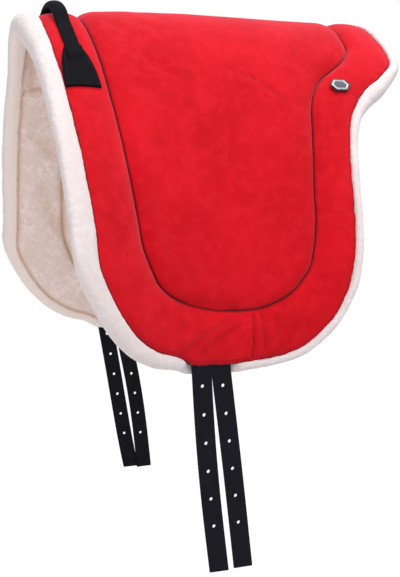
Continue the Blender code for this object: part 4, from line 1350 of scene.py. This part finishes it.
# Painted reflection: lighter patches on the enamel field stand in for its glints.
painted_glints = patterned(tree, ENAMEL_GLINT, 1, 0.5)
dress(tree, shader, mixed(tree, painted_glints, linear("#1E212B"), linear("#555A69")))
backing, tree, shader = new_material("black_backing", Roughness=0.5)
speckle = patterned(tree, BACKING_SPECKLE, 2, 0.5)
dress(tree, shader, mixed(tree, speckle, linear("#15151A"), linear("#24242B")))

bpy.ops.object.select_all(action="DESELECT")
bpy.ops.mesh.primitive_cylinder_add(vertices=6, radius=1, depth=BADGE_THICKNESS)
badge = bpy.context.active_object
badge.name = "bare_badge"
for vertex in badge.data.vertices:
    place = round((math.atan2(vertex.co.y, vertex.co.x) - math.pi / 6) / (math.pi / 3)) % 6
    share = BADGE_SHARES[place]
    vertex.co.x = share[0] * BADGE_LENGTH / 2
    vertex.co.y = share[1] * BADGE_HEIGHT / 2
bpy.ops.object.mode_set(mode="EDIT")
bpy.ops.mesh.select_all(action="SELECT")
bpy.ops.mesh.normals_make_consistent(inside=False)
bpy.ops.mesh.select_all(action="DESELECT")
bpy.ops.object.mode_set(mode="OBJECT")
for face in badge.data.polygons:
    face.select = face.normal.z > 0.9
for finish in (backing, nickel, enamel):
    badge.data.materials.append(finish)
bpy.ops.object.mode_set(mode="EDIT")
bpy.ops.mesh.inset(thickness=BADGE_BACKING, depth=0)
badge.active_material_index = 1
bpy.ops.object.material_slot_assign()
bpy.ops.mesh.inset(thickness=BADGE_BEVEL, depth=BADGE_BEVEL)
bpy.ops.mesh.inset(thickness=BADGE_RIM - 2 * BADGE_BEVEL, depth=0)
bpy.ops.mesh.inset(thickness=BADGE_BEVEL, depth=-BADGE_FIELD_DROP)
bpy.ops.mesh.inset(thickness=BADGE_FIELD_INSET, depth=0)
badge.active_material_index = 2
bpy.ops.object.material_slot_assign()
bpy.ops.object.mode_set(mode="OBJECT")
rounded = badge.modifiers.new("rounded", "BEVEL")
rounded.width = BADGE_ROUNDING
rounded.segments = 2
bpy.ops.object.modifier_apply(modifier="rounded")
bpy.ops.object.shade_smooth_by_angle(angle=BADGE_SHARP_ANGLE)
middle = drape(BADGE_REACH, BADGE_DROP, 0)
up = up_from(BADGE_REACH, BADGE_DROP)
along = drape(BADGE_REACH + BADGE_LENGTH, BADGE_DROP, 0) - middle
along = along - up * along.dot(up)
along = along / np.linalg.norm(along)
side_way = np.cross(up, along)
cad_badge = np.array([vertex.co for vertex in frame["nodes"]["badge_plate"].data.vertices])
base_height = ((cad_badge - middle) @ up).min()
centre = middle + up * (base_height + BADGE_THICKNESS / 2)
badge.data.transform(
    Matrix.Translation(Vector(centre))
    @ Matrix((Vector(along), Vector(side_way), Vector(up))).transposed().to_4x4()
)
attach(badge, "pad")
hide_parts("badge_plate")

# Stage.
# A pale floor well below the pad, four soft lamps and a camera at the photograph's angle.
# Floor and world show white to the camera through Light Path, and light the pad less than that.
FLOOR_DROP = 0.35
FLOOR_SIZE = 12
FLOOR_GLOW_SHARE = 0.8
FLOOR_GLOW = 1.15
WORLD_LIGHT = 0.45
FOCAL_PIXELS = 773.668
PHOTO_HEIGHT = 577
SENSOR = 24
CAMERA_PLACE = Vector((1.022332, -0.464628, -0.202117))
CAMERA_YAW = 0.4008116
CAMERA_PITCH = 0.1340103
CAMERA_ROLL = 0.0537616


def seen(tree):
    """1 for rays that show what they hit: from the camera, mirrored or let through."""
    rays = add(tree, "LightPath").outputs
    found = rays["Is Camera Ray"]
    for kind in ("Is Glossy Ray", "Is Transmission Ray"):
        found = add(tree, "Math", {0: found, 1: rays[kind]}, operation="MAXIMUM").outputs[0]
    return found


bpy.ops.object.select_all(action="DESELECT")
bpy.ops.mesh.primitive_plane_add(size=FLOOR_SIZE, location=(0, 0, cad_box[0].z - FLOOR_DROP))
floor = bpy.context.active_object
floor.name = "floor"
paint = bpy.data.materials.new("pale_floor")
paint.use_nodes = True
tree = paint.node_tree
tree.nodes.clear()
share = add(tree, "Math", {0: seen(tree), 1: FLOOR_GLOW_SHARE}, operation="MULTIPLY")
matt = add(tree, "BsdfDiffuse", {"Color": linear("#EDEDED")})
glow = add(tree, "Emission", {"Color": linear("#FFFFFF"), "Strength": FLOOR_GLOW})
blended = add(tree, "MixShader", {0: share.outputs[0], 1: matt.outputs[0], 2: glow.outputs[0]})
add(tree, "OutputMaterial", {"Surface": blended.outputs[0]})
floor.data.materials.append(paint)

world = bpy.data.worlds.new("studio")
bpy.context.scene.world = world
world.use_nodes = True
tree = world.node_tree
tree.nodes.clear()
strength = add(tree, "MapRange", {0: seen(tree), 3: WORLD_LIGHT, 4: 1.0})
sky = add(tree, "Background", {"Color": linear("#FFFFFF"), "Strength": strength.outputs[0]})
add(tree, "OutputWorld", {"Surface": sky.outputs[0]})

# Lamps: place, aim, width and power in watts
LAMPS = (
    ("key_lamp", (1.7, 0.4, 1.6), (0.05, 0, -0.15), 1.2, 29),
    ("top_lamp", (0.2, 0.4, 1.9), (0, 0, 0), 1.5, 29),
    ("fill_lamp", (1.5, -1.5, 0.1), (0.1, 0, -0.2), 1.4, 6.5),
    ("front_lamp", (0.3, -2.0, 0.2), (-0.1, 0, -0.15), 1.2, 6),
)
for name, place, aim, width, power in LAMPS:
    lamp = bpy.data.lights.new(name, "AREA")
    lamp.size = width
    lamp.energy = power
    holder = bpy.data.objects.new(name, lamp)
    holder.location = place
    holder.rotation_euler = (Vector(aim) - Vector(place)).to_track_quat("-Z", "Y").to_euler()
    bpy.context.scene.collection.objects.link(holder)

forward = Vector(
    (
        -math.cos(CAMERA_YAW) * math.cos(CAMERA_PITCH),
        math.sin(CAMERA_YAW) * math.cos(CAMERA_PITCH),
        -math.sin(CAMERA_PITCH),
    )
)
level = Vector((math.sin(CAMERA_YAW), math.cos(CAMERA_YAW), 0))
below = forward.cross(level)
right = math.cos(CAMERA_ROLL) * level + math.sin(CAMERA_ROLL) * below
below = -math.sin(CAMERA_ROLL) * level + math.cos(CAMERA_ROLL) * below
lens = bpy.data.cameras.new("photo_camera")
lens.sensor_fit = "VERTICAL"
lens.sensor_height = SENSOR
lens.lens = FOCAL_PIXELS / PHOTO_HEIGHT * SENSOR
camera = bpy.data.objects.new("photo_camera", lens)
axes = Matrix((right, -below, -forward)).transposed().to_4x4()
camera.matrix_world = Matrix.Translation(CAMERA_PLACE) @ axes
bpy.context.scene.collection.objects.link(camera)
bpy.context.scene.camera = camera
bpy.context.scene.view_settings.view_transform = "Standard"
